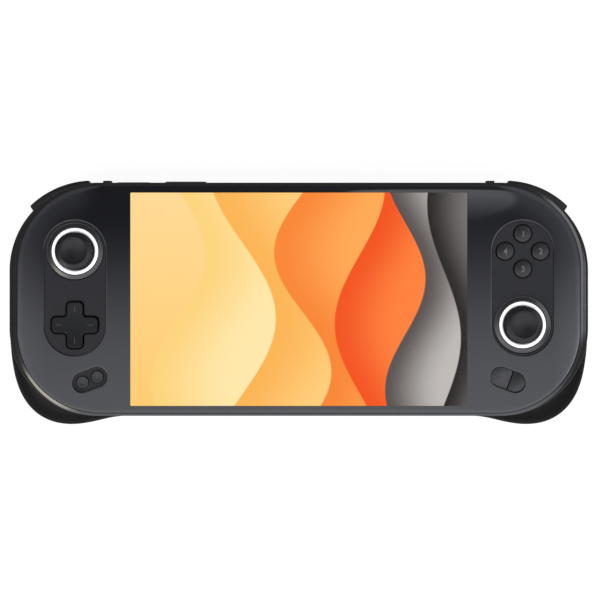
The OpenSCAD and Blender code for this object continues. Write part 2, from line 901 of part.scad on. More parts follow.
module rear_cover() {
    color("#202124")
        difference() {
            union() {
                shell_skin();
                for (p = case_screw_at)
                    translate([p[0], p[1], back_z + shell_wall / 2])
                        cylinder(r = well_r, h = pillar_low - back_z - shell_wall / 2);
                for (right = [false, true])
                    on_side(right)
                        corner_ring(bumper_from - notch_near, bumper_to + notch_far)
                            translate([pocket_r - pocket_wall, back_z + shell_wall / 2])
                                square([pocket_wall, pocket_wall_top - back_z - shell_wall / 2]);
            }
            // Open pockets for the triggers
            for (right = [false, true])
                on_side(right)
                    corner_ring(bumper_from - notch_near, bumper_to + notch_far)
                        translate([pocket_r, -over])
                            square([frame_r, part_z + 2 * over]);
            // Wells of the case screws
            for (p = case_screw_at)
                translate([p[0], p[1], back_z - over]) {
                    cylinder(r = case_head_r + key_gap, h = pillar_low - well_floor - back_z + over);
                    cylinder(r = case_screw_r + key_gap, h = pillar_low - back_z + 2 * over);
                }
            vents();
        }
}

// Air inlet behind the fan, air outlet in the top edge and speaker slots in the bottom edge
module vents() {
    for (i = [0:slot_cols - 1], j = [0:slot_rows - 1])
        translate([fan_x + (i - (slot_cols - 1) / 2) * slot_pitch_x,
            fan_y + (j - (slot_rows - 1) / 2) * slot_pitch_y, back_z - over])
            linear_extrude(shell_wall + 2 * over)
                obround(slot_len - slot_w, slot_w / 2);
    for (i = [0:top_slot_n - 1])
        translate([fan_x + (i - (top_slot_n - 1) / 2) * top_slot_pitch - top_slot_w / 2,
            frame_h / 2 - back_edge, fin_low])
            cube([top_slot_w, back_edge + over, pipe_z - fin_low]);
    for (s = [-1, 1], i = [0:side_slot_n - 1])
        translate([s * speaker_x + (i - (side_slot_n - 1) / 2) * top_slot_pitch - top_slot_w / 2,
            -frame_h / 2 - over, speaker_z + speaker_t / 2 - speaker_cone])
            cube([top_slot_w, back_edge, part_z - over - speaker_z - speaker_t / 2 + speaker_cone]);
}

// Thumbsticks

module light_ring() {
    color("#f4f6f8")
        rotate_extrude() {
            translate([ring_r - ring_w, deck_bot])
                square([ring_w, island_z - deck_bot]);
            translate([ring_r - ring_w + ring_flange / 2, deck_bot - ring_flange_t])
                square([ring_w + ring_flange / 2, ring_flange_t]);
        }
}

// Round can with a wide mouth, standing on the thumb board
module stick_base() {
    color("#6d6f74")
        difference() {
            translate([0, 0, board_top])
                cylinder(r = base_r, h = base_top - board_top);
            translate([0, 0, board_top + stick_foot])
                cylinder(r = base_r - base_t, h = base_top - board_top - stick_foot - base_t / 2);
            translate([0, 0, board_top])
                cylinder(r = base_mouth, h = base_top - board_top + over);
            translate([0, 0, stick_z])
                rotate([0, 90, 0])
                    cylinder(r = trunnion_r + pin_gap, h = 2 * base_r + over, center = true);
        }
}

// Frame that tilts about X, on two trunnions in the base
module stick_yoke() {
    color("#d9d6cd")
        translate([0, 0, stick_z])
            difference() {
                union() {
                    cube([yoke_x, yoke_y, yoke_t], center = true);
                    rotate([0, 90, 0])
                        cylinder(r = trunnion_r, h = 2 * base_r - base_t / 2, center = true);
                }
                cube([yoke_window, yoke_window, yoke_t + over], center = true);
                rotate([90, 0, 0])
                    cylinder(r = trunnion_r + pin_gap, h = yoke_y + over, center = true);
            }
}

// Block that tilts about Y inside the yoke and guides the stem
module stick_pivot() {
    color("#b9b3a4")
        translate([0, 0, stick_z])
            difference() {
                union() {
                    cube([pivot_x, pivot_y, yoke_t], center = true);
                    rotate([90, 0, 0])
                        cylinder(r = trunnion_r, h = yoke_y - trunnion_len / 2, center = true);
                }
                cylinder(r = stem_r + pin_gap, h = yoke_t + over, center = true);
            }
}

module stick_stem() {
    color("#9a9ca1")
        translate([0, 0, stick_z - stem_low])
            cylinder(r = stem_r, h = cap_low - stick_z + stem_low);
}

// Mushroom cap: dished top, neck, and a round skirt that closes the opening
module stick_cap() {
    color("#2a2b2e")
        difference() {
            rotate_extrude()
                polygon(concat([[0, stick_z + skirt_in * cos(skirt_from)]],
                    [for (i = [0:12]) let (t = skirt_from + (skirt_to - skirt_from) * i / 12)
                        [skirt_in * sin(t), stick_z + skirt_in * cos(t)]],
                    [for (i = [12:-1:0]) let (t = skirt_neck + (skirt_to - skirt_neck) * i / 12)
                        [skirt_r * sin(t), stick_z + skirt_r * cos(t)]],
                    [[neck_r, cap_low - cap_web]],
                    [for (i = [0:6]) let (t = -90 + 180 * i / 6)
                        [cap_r - cap_bead + cap_bead * cos(t), cap_low + cap_bead * (1 + sin(t))]],
                    [for (i = [1:8]) let (s = 1 - i / 8)
                        [(cap_r - cap_bead) * s, cap_rim - cap_dish * (1 - s * s)]]));
            translate([0, 0, stick_z - over])
                cylinder(r = stem_r, h = cap_low - stick_z + over);
        }
}

// Inner radius of the skirt, and its angles from the stick's axis
skirt_in = skirt_r - skirt_t;
skirt_from = asin((neck_r - skirt_t) / skirt_r);
skirt_neck = asin(neck_r / skirt_r);
skirt_to = acos(skirt_low / skirt_r);

// Directional pad

module dpad_ball() {
    color("#c4c7cc")
        at_pad()
            translate([0, 0, ball_z])
                sphere(r = ball_r);
}

module dpad() {
    color("#3a3b40")
        at_pad()
            difference() {
                union() {
                    translate([0, 0, pad_flange_top - over / 2])
                        linear_extrude(island_z + pad_rise - pad_flange_top + over / 2 - edge_round)
                            pad_shape(0);
                    translate([0, 0, island_z + pad_rise - edge_round - over / 2])
                        linear_extrude(edge_round + over / 2)
                            pad_shape(-edge_round);
                    translate([0, 0, pad_flange_top - pad_flange_t])
                        cylinder(r = pad_flange_r, h = pad_flange_t);
                    translate([0, 0, ball_z + ball_r / 3])
                        cylinder(r = hub_r, h = pad_flange_top - ball_z - ball_r / 3);
                }
                translate([0, 0, ball_z])
                    sphere(r = ball_r + pin_gap);
            }
}

// Rubber sheet with four hollow domes, at a distance from its middle
module membrane(pitch, span, dome_top) {
    color("#8d9096")
        difference() {
            union() {
                translate([0, 0, board_top])
                    linear_extrude(sheet_t)
                        difference() {
                            circle(span);
                            circle(pitch - dome_r - sheet_gap);
                        }
                for (k = [0:3])
                    rotate([0, 0, 90 * k])
                        translate([pitch, 0, board_top])
                            cylinder(r1 = dome_r, r2 = dome_tip_r, h = dome_top - board_top);
            }
            for (k = [0:3])
                rotate([0, 0, 90 * k])
                    translate([pitch, 0, board_top - over / 10])
                        cylinder(r1 = dome_r - dome_t, r2 = dome_tip_r - dome_t,
                            h = dome_top - board_top - dome_t);
        }
}

module dpad_membrane() {
    at_pad()
        membrane(pad_span - dome_r, pad_span + sheet_t, pad_flange_top - pad_flange_t - pad_dome_gap);
}

module face_button_membrane() {
    translate([control_x, upper_y, 0])
        membrane(face_pitch, face_pitch + dome_r + sheet_gap,
            deck_bot - flange_drop - flange_t - face_travel - dome_gap);
}

// Buttons

module face_button(k) {
    color("#46474c")
        at_face(k)
            round_button(face_r, flange_lip, island_z + face_rise, face_dome);
}

module small_button(s) {
    color("#46474c")
        at_pill(false)
            translate([s * pill_pitch / 2, 0, 0])
                round_button(small_r, small_lip, face_z - island_drop, small_dome);
}

// Piece of the right pill on one side of the split
module pill_button(s) {
    color("#46474c")
        at_pill(true)
            intersection() {
                union() {
                    translate([0, 0, deck_bot - flange_drop])
                        linear_extrude(face_z - island_drop - deck_bot + flange_drop)
                            obround(pill_pitch, pill_r - key_gap);
                    translate([0, 0, deck_bot - flange_drop - flange_t])
                        linear_extrude(flange_t)
                            obround(pill_pitch, pill_r + flange_lip);
                }
                translate([pill_split + s * (pill_pitch + split_gap / 2), 0, deck_bot])
                    cube([2 * pill_pitch, 4 * pill_r, 2 * frame_depth], center = true);
            }
}

// Shoulder keys

module bumper() {
    color("#2f3034")
        difference() {
            corner_ring(bumper_from, bumper_to)
                polygon([[bumper_r - bumper_w, bumper_low], [bumper_r - bumper_chamfer, bumper_low],
                    [bumper_r, bumper_low + bumper_chamfer], [bumper_r, bumper_top - bumper_chamfer],
                    [bumper_r - bumper_chamfer, bumper_top], [bumper_r - bumper_w, bumper_top]]);
            at_bumper_hinge()
                translate([0, 0, bumper_low - over])
                    cylinder(r = bumper_pin_r + pin_gap, h = bumper_t + 2 * over);
        }
}

// Curved blade with two arms that run in to the hinge hub
module trigger() {
    color("#2f3034")
        difference() {
            union() {
                corner_ring(trigger_mid - trigger_half, trigger_mid + trigger_half)
                    polygon([[trigger_r - trigger_t, trigger_top], [trigger_r - blade_round, trigger_top],
                        [trigger_r, trigger_top - blade_round], [trigger_r, trigger_top - trigger_len * 0.35],
                        [trigger_r - blade_dip, trigger_top - trigger_len * 0.65],
                        [trigger_r, trigger_low + blade_round], [trigger_r - blade_round, trigger_low],
                        [trigger_r - trigger_t + blade_dip, trigger_low]]);
                at_trigger()
                    for (s = [-1, 1])
                        translate([trigger_hinge_r, s * (hinge_half + spring_half) / 2, trigger_hinge_z]) {
                            rotate([90, 0, 0])
                                cylinder(r = hinge_hub_r, h = arm_w, center = true);
                            translate([0, -arm_w / 2, -hinge_hub_r / 2])
                                cube([trigger_r - trigger_t * 0.7 - trigger_hinge_r, arm_w, hinge_hub_r]);
                        }
            }
            at_trigger()
                translate([trigger_hinge_r, 0, trigger_hinge_z])
                    rotate([90, 0, 0])
                        cylinder(r = trigger_pin_r + pin_gap, h = 2 * hinge_half + over, center = true);
        }
}

// Four steel pins: one for each bumper and one for each trigger
module hinge_pins() {
    color("#c4c7cc")
        for (right = [false, true])
            on_side(right) {
                at_bumper_hinge()
                    translate([0, 0, bumper_low])
                        cylinder(r = bumper_pin_r, h = deck_bot + pin_seat - bumper_low);
                at_trigger()
                    translate([trigger_hinge_r, 0, trigger_hinge_z])
                        rotate([90, 0, 0])
                            cylinder(r = trigger_pin_r, h = trigger_pin_len, center = true);
            }
}

// Point of the spring wire's skin: ring i, corner j
function coil_point(i, j) = let (t = 360 * i / coil_rings, w = coil_r + coil_wire * cos(60 * j))
    [w * cos(t), w * sin(t), coil_pitch * (i / coil_rings - coil_turns / 2) + coil_wire * sin(60 * j)];

// Torsion spring wound round the trigger's pin
module trigger_spring() {
    rings = coil_turns * coil_rings;
    points = [for (i = [0:rings], j = [0:5]) coil_point(i, j)];
    faces = concat([for (i = [0:rings - 1]) each strip(6 * i, 6 * i + 6, 6)],
        [[for (j = [5:-1:0]) j]], [[for (j = [0:5]) 6 * rings + j]]);
    color("#d5d7da")
        at_trigger()
            translate([trigger_hinge_r, 0, trigger_hinge_z])
                rotate([90, 0, 0])
                    polyhedron(points, faces);
}

// Key of the top edge: a round-ended face outside and a flange behind the wall
module edge_key(x, w, out, room) {
    color("#2f3034")
        translate([x, 0, key_z])
            rotate([-90, 0, 0]) {
                translate([0, 0, wall_in - room - key_flange_t])
                    linear_extrude(frame_wall + out + room + key_flange_t)
                        obround(w - key_t, key_t / 2);
                translate([0, 0, wall_in - room - key_flange_t])
                    linear_extrude(key_flange_t)
                        obround(w - key_t, key_t / 2 + key_flange);
            }
}

module corner_key() {
    edge_key(-corner_key_x, corner_key_w, corner_key_out, fit_gap);
}

module power_key() {
    edge_key(-power_x, power_w, power_out, fit_gap);
}

module volume_rocker() {
    edge_key(-volume_x, volume_w, volume_out, rocker_room);
}

// Boards and what they carry

module chassis_plate() {
    color("#a8abb0")
        difference() {
            union() {
                translate([0, 0, plate_z + plate_t / 2])
                    cube([plate_w, panel_h, plate_t], center = true);
                for (sx = [-1, 1], sy = [-1, 1])
                    translate([sx * (plate_w - pad_w) / 2, sy * (pad_y + pad_h / 2), plate_z + plate_t / 2])
                        linear_extrude(deck_bot - plate_z - plate_t / 2)
                            square([pad_w, pad_h], center = true);
                for (p = case_screw_at)
                    translate([p[0], p[1], pillar_low])
                        cylinder(r = pillar_r, h = plate_z + plate_t / 2 - pillar_low);
                for (p = concat(main_screw_at, io_screw_at))
                    translate([p[0], p[1], board_top])
                        cylinder(r = standoff_r, h = plate_z + plate_t / 2 - board_top);
            }
            for (p = case_screw_at)
                translate([p[0], p[1], pillar_low - over])
                    cylinder(r = case_screw_r + pin_gap, h = plate_z - pillar_low);
            for (p = concat(main_screw_at, io_screw_at))
                translate([p[0], p[1], board_top - over])
                    cylinder(r = tap_r, h = screw_len + over / 2);
        }
}

// Switch on the main board, behind a key whose flange is room from the wall when pressed
module key_switch(x, room) {
    front = wall_in - room - key_flange_t - switch_gap;
    translate([x - switch_w / 2, main_high - switch_depth, board_top - board_t / 2])
        cube([switch_w, front - main_high + switch_depth, switch_t + board_t / 2]);
}

// Board with its chip on the underside and the switches of the top keys on the front
module main_board() {
    color("#1f5a3c")
        difference() {
            union() {
                translate([-main_w / 2, main_low, board_z])
                    cube([main_w, main_high - main_low, board_t]);
                translate([chip_x - chip_w / 2, chip_y - chip_w / 2, board_z - chip_t])
                    cube([chip_w, chip_w, chip_t + board_t / 2]);
                key_switch(-power_x + switch_at, fit_gap + power_travel);
                for (s = [-1, 1])
                    key_switch(-volume_x + s * switch_at,
                        rocker_room + (switch_at + switch_w / 2) * sin(rock_angle));
            }
            for (p = case_screw_at)
                translate([p[0], p[1], board_z - over])
                    cylinder(r = pillar_r + key_gap, h = board_t + 2 * over);
            for (p = main_screw_at)
                translate([p[0], p[1], board_z - over])
                    cylinder(r = screw_r + key_gap, h = board_t + 2 * over);
        }
}

module io_board() {
    color("#1f5a3c")
        difference() {
            translate([-io_w / 2, io_low, board_z])
                cube([io_w, io_high - io_low, board_t]);
            for (p = io_screw_at)
                translate([p[0], p[1], board_z - over])
                    cylinder(r = screw_r + key_gap, h = board_t + 2 * over);
        }
}

// Board with the two switches under a pill's buttons
module thumb_board() {
    at_pill(false)
        for (s = [-1, 1])
            translate([s * pill_pitch / 2, 0, board_top - board_t / 2])
                cylinder(r = small_r - key_gap, h = board_t / 2 + deck_bot - flange_drop - flange_t
                    - small_travel - switch_gap - board_top);
    difference() {
        translate([-control_x, (thumb_low + thumb_high) / 2, board_z])
            linear_extrude(board_t)
                rounded_rect(thumb_w, thumb_high - thumb_low, thumb_round, 12);
        for (p = boss_at)
            translate([-control_x + p[0], p[1], board_z - over])
                cylinder(r = screw_r + key_gap, h = board_t + 2 * over);
    }
}

// The left board also carries the seat of the pad's pivot ball
module left_thumb_board() {
    color("#1f5a3c") {
        thumb_board();
        at_pad()
            difference() {
                translate([0, 0, board_top - board_t / 2])
                    cylinder(r = post_r, h = post_h + board_t / 2);
                translate([0, 0, ball_z])
                    sphere(r = ball_r + pin_gap);
            }
    }
}

module right_thumb_board() {
    color("#1f5a3c")
        on_side(true)
            thumb_board();
}

module battery() {
    color("#2b3f6b")
        translate([-battery_w / 2, battery_low, plate_z - battery_t])
            cube([battery_w, battery_h, battery_t]);
}

module ssd() {
    color("#235a86")
        translate([drive_x - drive_w / 2, drive_y - drive_h / 2, board_z - drive_t])
            cube([drive_w, drive_h, drive_t]);
}

// USB-C socket: a hollow round-ended shell with its tongue
module usb_port() {
    color("#b9bcc2")
        rotate([-90, 0, 0]) {
            difference() {
                linear_extrude(usb_len)
                    obround(usb_w - usb_t, usb_t / 2);
                translate([0, 0, usb_wall * 3])
                    linear_extrude(usb_len)
                        obround(usb_w - usb_t, usb_t / 2 - usb_wall);
            }
            translate([0, 0, usb_wall])
                linear_extrude(usb_len - usb_tongue)
                    square([usb_w - usb_t, usb_wall * 2], center = true);
            translate([0, (key_z - board_top) / 2, usb_len / 4])
                cube([usb_w / 2, key_z - board_top, usb_len / 2], center = true);
        }
}

module top_usb_port() {
    translate([usb_top_x, usb_y, key_z])
        usb_port();
}

module bottom_usb_port() {
    mirror([0, 1, 0])
        translate([0, usb_y, key_z])
            usb_port();
}

module headphone_jack() {
    color("#17181a")
        difference() {
            translate([jack_x - jack_w / 2, -jack_front, board_top])
                cube([jack_w, jack_front - jack_back, plate_z - board_top]);
            translate([jack_x, -jack_back - over, key_z])
                rotate([90, 0, 0])
                    cylinder(r = jack_bore_r, h = jack_front - jack_back);
        }
}

module card_slot() {
    color("#b9bcc2")
        difference() {
            translate([card_x - card_w / 2, -wall_in + fit_gap, board_top])
                cube([card_w, card_len, card_t]);
            translate([card_x, -wall_in + card_len / 2 - over, board_top + card_t / 2])
                cube([card_w - card_slit, card_len, card_slit], center = true);
        }
}

// Cooling

pipe_z = board_z - chip_t - pipe_t;

// Flat pipe from the chip's cold plate round to the fin stack
module heat_pipe() {
    color("#b8734a") {
        translate([chip_x - cold_w / 2, chip_y - cold_w / 2, pipe_z])
            cube([cold_w, cold_w, pipe_t]);
        translate([chip_x - pipe_w / 2, chip_y, pipe_z])
            cube([pipe_w, pipe_y - pipe_bend - chip_y, pipe_t]);
        translate([chip_x - pipe_bend, pipe_y - pipe_bend, pipe_z])
            rotate_extrude(angle = 90)
                translate([pipe_bend - pipe_w / 2, 0])
                    square([pipe_w, pipe_t]);
        translate([pipe_end, pipe_y - pipe_w / 2, pipe_z])
            cube([chip_x - pipe_bend - pipe_end, pipe_w, pipe_t]);
    }
}

module fin_stack() {
    color("#9ea2a8")
        translate([fan_x, pipe_y, 0]) {
            translate([0, 0, pipe_z - fin_t])
                linear_extrude(fin_t)
                    square([fin_n * fin_pitch, fin_depth], center = true);
            for (i = [0:fin_n - 1])
                translate([(i - (fin_n - 1) / 2) * fin_pitch, 0, fin_low])
                    linear_extrude(pipe_z - fin_low - fin_t / 2)
                        square([fin_t, fin_depth], center = true);
        }
}

// Blower: round air inlet behind, outlet towards the fins, axle on the front wall
module fan_housing() {
    color("#35373b")
        translate([fan_x, fan_y, board_z - fan_t]) {
            difference() {
                translate([-fan_w / 2, -fan_h / 2, 0])
                    cube([fan_w, fan_h, fan_t]);
                translate([-fan_w / 2 + fan_wall, -fan_h / 2 + fan_wall, fan_wall])
                    cube([fan_w - 2 * fan_wall, fan_h, fan_t - 2 * fan_wall]);
                translate([0, 0, -over])
                    cylinder(r = fan_eye_r, h = fan_wall + 2 * over);
            }
            translate([0, 0, fan_wall + fan_gap])
                cylinder(r = fan_axle_r, h = fan_t - 1.5 * fan_wall - fan_gap);
        }
}

module fan_impeller() {
    z = board_z - fan_t + fan_wall + fan_gap;
    h = fan_t - 2 * fan_wall - 2 * fan_gap;
    color("#4a4d52")
        translate([fan_x, fan_y, z])
            difference() {
                union() {
                    cylinder(r = fan_hub_r, h = h);
                    linear_extrude(blade_t)
                        difference() {
                            circle(fan_r);
                            circle(fan_r - band_w);
                        }
                    for (i = [0:fan_blades - 1])
                        rotate([0, 0, 360 * i / fan_blades])
                            translate([fan_hub_r - blade_root, 0, 0])
                                rotate([0, 0, blade_lean])
                                    translate([0, -blade_t / 2, 0])
                                        cube([fan_r - fan_hub_r - blade_root, blade_t, h]);
                }
                translate([0, 0, -over])
                    cylinder(r = fan_axle_r + pin_gap, h = h + 2 * over);
            }
}

// Sound and touch

speaker_z = plate_z - speaker_t;

module speaker() {
    color("#222326")
        difference() {
            translate([-speaker_x - speaker_w / 2, -wall_in + speaker_gap, speaker_z])
                cube([speaker_w, speaker_h, speaker_t]);
            translate([-speaker_x, -wall_in, speaker_z + speaker_t / 2])
                rotate([-90, 0, 0])
                    linear_extrude(2 * speaker_gap)
                        obround(speaker_w - 3 * speaker_cone, speaker_cone);
        }
}

module haptic_motor() {
    color("#b9bcc2")
        translate([-control_x, haptic_y, board_z - haptic_t])
            cylinder(r = haptic_r, h = haptic_t);
}

// Screws: a pan head with a cross slot, its head facing back
module screw(r, len, head_r, head_t) {
    translate([0, 0, head_t / 2])
        cylinder(r = r, h = len + head_t / 2);
    difference() {
        cylinder(r = head_r, h = head_t);
        for (a = [0, 90])
            rotate([0, 0, a])
                cube([1.3 * head_r, 0.3 * head_r, head_t], center = true);
    }
}

module case_screws() {
    color("#8a8d92")
        for (p = case_screw_at)
            translate([p[0], p[1], pillar_low - well_floor - case_head_t])
                screw(case_screw_r, well_floor + case_bite, case_head_r, case_head_t);
}

module board_screws() {
    color("#8a8d92") {
        for (right = [false, true], p = boss_at)
            on_side(right)
                translate([-control_x + p[0], p[1], board_z - screw_head_t])
                    screw(screw_r, board_t + screw_len - screw_end, screw_head_r, screw_head_t);
        for (p = concat(main_screw_at, io_screw_at))
            translate([p[0], p[1], board_z - screw_head_t])
                screw(screw_r, board_t + screw_len - screw_end, screw_head_r, screw_head_t);
    }
}

// Moves the finished piece so that the footprint's middle is at the origin
module set() {
    translate([0, face_y, 0])
        children();
}

set() front_glass();
set() front_frame();
set() rear_cover();
set() display_panel();
set() chassis_plate();
set() main_board();
set() io_board();
set() left_thumb_board();
set() right_thumb_board();
set() battery();
set() ssd();
set() heat_pipe();
set() fin_stack();
set() fan_housing();
set() fan_impeller();
set() speaker();  // left_speaker
set() on_side(true) speaker();  // right_speaker
set() haptic_motor();  // left_haptic_motor
set() on_side(true) haptic_motor();  // right_haptic_motor
set() top_usb_port();
set() bottom_usb_port();
set() headphone_jack();
set() card_slot();
set() at_stick(false) light_ring();  // left_light_ring
set() at_stick(true) light_ring();  // right_light_ring
set() at_stick(false) stick_base();  // left_stick_base
set() at_stick(true) stick_base();  // right_stick_base
set() at_stick(false) stick_yoke();  // left_stick_yoke
set() at_stick(true) stick_yoke();  // right_stick_yoke
set() at_stick(false) stick_pivot();  // left_stick_pivot
set() at_stick(true) stick_pivot();  // right_stick_pivot
set() at_stick(false) stick_stem();  // left_stick_stem
set() at_stick(true) stick_stem();  // right_stick_stem
set() at_stick(false) stick_cap();  // left_stick_cap
set() at_stick(true) stick_cap();  // right_stick_cap
set() dpad_ball();
set() dpad();
set() dpad_membrane();
set() face_button_membrane();
set() face_button(1);  // face_button_top
set() face_button(0);  // face_button_right
set() face_button(3);  // face_button_bottom
set() face_button(2);  // face_button_left
set() small_button(-1);  // view_button
set() small_button(1);  // menu_button
set() pill_button(-1);  // home_button
set() pill_button(1);  // quick_button
set() bumper();  // left_bumper
set() on_side(true) bumper();  // right_bumper
set() trigger();  // left_trigger
set() on_side(true) trigger();  // right_trigger
set() hinge_pins();
set() trigger_spring();  // left_trigger_spring
set() on_side(true) trigger_spring();  // right_trigger_spring
set() corner_key();  // left_corner_key
set() on_side(true) corner_key();  // right_corner_key
set() power_key();
set() volume_rocker();
set() case_screws();
set() board_screws();
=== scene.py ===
"""Looks of the handheld game console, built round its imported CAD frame. Sizes are in mm unless said."""
import math

import bmesh
import bpy
import numpy as np
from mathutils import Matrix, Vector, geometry


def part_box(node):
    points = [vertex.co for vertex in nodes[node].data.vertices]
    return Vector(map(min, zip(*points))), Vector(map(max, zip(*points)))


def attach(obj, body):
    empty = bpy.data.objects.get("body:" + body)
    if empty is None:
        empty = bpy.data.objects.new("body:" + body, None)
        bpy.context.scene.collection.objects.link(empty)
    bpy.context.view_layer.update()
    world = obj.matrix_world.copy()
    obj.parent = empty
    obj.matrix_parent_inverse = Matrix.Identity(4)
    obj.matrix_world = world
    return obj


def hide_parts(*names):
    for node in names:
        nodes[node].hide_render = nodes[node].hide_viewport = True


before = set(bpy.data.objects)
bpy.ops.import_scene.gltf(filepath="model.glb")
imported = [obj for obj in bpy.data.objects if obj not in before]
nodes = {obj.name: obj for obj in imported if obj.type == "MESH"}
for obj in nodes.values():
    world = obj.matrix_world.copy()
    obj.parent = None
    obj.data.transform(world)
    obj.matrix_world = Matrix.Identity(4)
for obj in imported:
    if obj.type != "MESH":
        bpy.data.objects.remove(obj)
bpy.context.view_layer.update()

scene = bpy.context.scene

# Rear cover: the back half of the housing with its two grips, one moulding in black ABS with a
# fine spark-eroded grain. Four screws hold it to the chassis, and its upper corners are open for
# the triggers.
glass_lo, glass_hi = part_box("front_glass")
face_y = 500 * (glass_lo.y + glass_hi.y)
body_w = 260.0
body_h = 104.8
body_r = 39.5
corner_x = body_w / 2 - body_r
corner_y = body_h / 2 - body_r
part_z = 26.0
back_z = 14.5
cover_wall = 2.0


def unit(t):
    """Directions at the angles t."""
    return np.stack([np.cos(t), np.sin(t)], 1)


def round_outline(w, h, r, arc, runs=(1, 1)):
    """Rounded rectangle, anticlockwise from its right side: four quarter circles of arc steps, with
    runs steps along the straight edges between them. Gives points and outward directions."""
    points, outward = [], []
    for k in range(4):
        t = np.pi / 2 * (k + np.linspace(0, 1, arc + 1))
        d = unit(t)
        middle = np.array([(w / 2 - r) * (1, -1, -1, 1)[k], (h / 2 - r) * (1, 1, -1, -1)[k]])
        points.append(middle + r * d)
        outward.append(d)
        n = runs[k % 2]
        along = np.array([-d[-1, 1], d[-1, 0]]) * ((w, h)[k % 2] - 2 * r)
        share = np.arange(1, n)[:, None] / n
        points.append(points[-1][-1] + share * along)
        outward.append(np.repeat(d[-1:], n - 1, 0))
    p, d = np.concatenate(points), np.concatenate(outward)
    keep = np.linalg.norm(p - np.roll(p, 1, 0), axis=1) > 1e-6
    return p[keep], d[keep]


def circle(r, arc=24):
    """Outline of a circle round the origin, with arc steps in a quarter."""
    return round_outline(2 * r, 2 * r, r, arc)


def quads(m, n, closed=True):
    """Four-cornered faces between m rows of n points; closed joins the last column to the first."""
    i = np.arange(m - 1)[:, None] * n
    j = np.arange(n if closed else n - 1)[None, :]
    k = (j + 1) % n
    return np.stack([i + j, i + k, i + n + k, i + n + j], -1).reshape(-1, 4)


def grid(rows, closed=True):
    """Surface over rows of points, rows by points by three."""
    rows = np.asarray(rows)
    return rows.reshape(-1, 3), quads(*rows.shape[:2], closed)


def ring_at(plane, z):
    """Row of points over a plane loop at a height, or at one height for each point."""
    return np.column_stack([plane, np.broadcast_to(z, len(plane))])


def filled(loops, z=None, lift=None):
    """Flat face inside the first loop and outside the others, cut into triangles. The loops are plane
    points; they lie at height z, or where lift puts them."""
    flat = np.concatenate(loops)
    tris = geometry.tessellate_polygon([[(x, y, 0.0) for x, y in loop.tolist()] for loop in loops])
    return ring_at(flat, z) if lift is None else lift(flat), np.array(tris)


def prism(loop, low, high):
    """Straight solid over a plane loop, from the height low to the height high."""
    return [grid([ring_at(loop, low), ring_at(loop, high)]), filled([loop], low), filled([loop], high)]


def new_mesh(name, parts):
    """Mesh of several surfaces in mm, with shared edges welded and the faces turned outwards."""
    sizes = np.cumsum([0] + [len(v) for v, f in parts])
    verts = np.concatenate([v for v, f in parts]) * 0.001
    faces = [f for (v, fs), base in zip(parts, sizes) for f in (fs + base).tolist()]
    mesh = bpy.data.meshes.new(name)
    mesh.from_pydata(verts.tolist(), [], faces)
    shell = bmesh.new()
    shell.from_mesh(mesh)
    bmesh.ops.remove_doubles(shell, verts=shell.verts, dist=2e-6)
    bmesh.ops.recalc_face_normals(shell, faces=shell.faces)
    shell.to_mesh(mesh)
    shell.free()
    return mesh


def centred(parts):
    """Surfaces worked out about the middle of the front face, moved to its place in the frame."""
    for v, f in parts:
        v[:, 1] += face_y
    return parts


def piece(name, parts, material, body="console", replaces=(), sharp=38):
    """Object of the given surfaces, smooth below the sharp angle, riding on a body of the frame."""
    mesh = parts if isinstance(parts, bpy.types.Mesh) else new_mesh(name, parts)
    mesh.name = name
    mesh.polygons.foreach_set("use_smooth", np.ones(len(mesh.polygons), bool))
    mesh.set_sharp_from_angle(angle=math.radians(sharp))
    mesh.materials.clear()
    mesh.materials.append(material)
    made = bpy.data.objects.new(name, mesh)
    scene.collection.objects.link(made)
    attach(made, body)
    if replaces:
        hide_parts(*replaces)
    return made


def new_material(name):
    """Material with nodes, and its tree."""
    made = bpy.data.materials.new(name)
    made.use_nodes = True
    return made, made.node_tree


def preset(node, values):
    """Node with inputs set by their names."""
    for key, value in values.items():
        node.inputs[key].default_value = value
    return node


def moulded(name, colour, rough, grain, depth, metal=0.0, mottle=0.12, spread=0.06, sheen=0.5):
    """Finish with a fine grain: noise of grain cells per metre raises the surface by depth metres and
    moves the roughness by spread, and a coarser noise moves the colour by a share mottle. Sheen is
    the strength of its gloss, 0.5 for bare plastic and less for a matt one."""
    made, tree = new_material(name)
    shader = tree.nodes["Principled BSDF"]
    place = tree.nodes.new("ShaderNodeTexCoord")
    fine, broad = [preset(tree.nodes.new("ShaderNodeTexNoise"), {"Scale": scale, "Detail": detail})
                   for scale, detail in ((grain, 3.0), (grain / 14, 2.0))]
    for noise in (fine, broad):
        tree.links.new(place.outputs["Object"], noise.inputs["Vector"])
    tint = tree.nodes.new("ShaderNodeMix")
    tint.data_type = "RGBA"
    preset(tint, {"A": [c * (1 - mottle) for c in colour] + [1],
                  "B": [min(1, c * (1 + mottle)) for c in colour] + [1]})
    tree.links.new(broad.outputs["Fac"], tint.inputs["Factor"])
    tree.links.new(tint.outputs["Result"], shader.inputs["Base Color"])
    gloss = preset(tree.nodes.new("ShaderNodeMapRange"),
                   {"To Min": max(0.02, rough - spread), "To Max": min(1.0, rough + spread)})
    tree.links.new(fine.outputs["Fac"], gloss.inputs["Value"])
    tree.links.new(gloss.outputs["Result"], shader.inputs["Roughness"])
    bump = preset(tree.nodes.new("ShaderNodeBump"), {"Strength": 0.6, "Distance": depth})
    tree.links.new(fine.outputs["Fac"], bump.inputs["Height"])
    tree.links.new(bump.outputs["Normal"], shader.inputs["Normal"])
    preset(shader, {"Metallic": metal, "Specular IOR Level": sheen})
    return made


grip_depth = 14.5
grip_edge = 20.0
back_edge = 7.0
grip_span = (62.0, 98.0)
grip_fade = (8.0, 46.0)
swells = ((12.2, 37.3, 17.0), (2.0, -8.0, 18.0))
swell_rise = 0.7
flat_share = np.array([0.43, 0.38])
edge_rows = 33
back_rows = 31


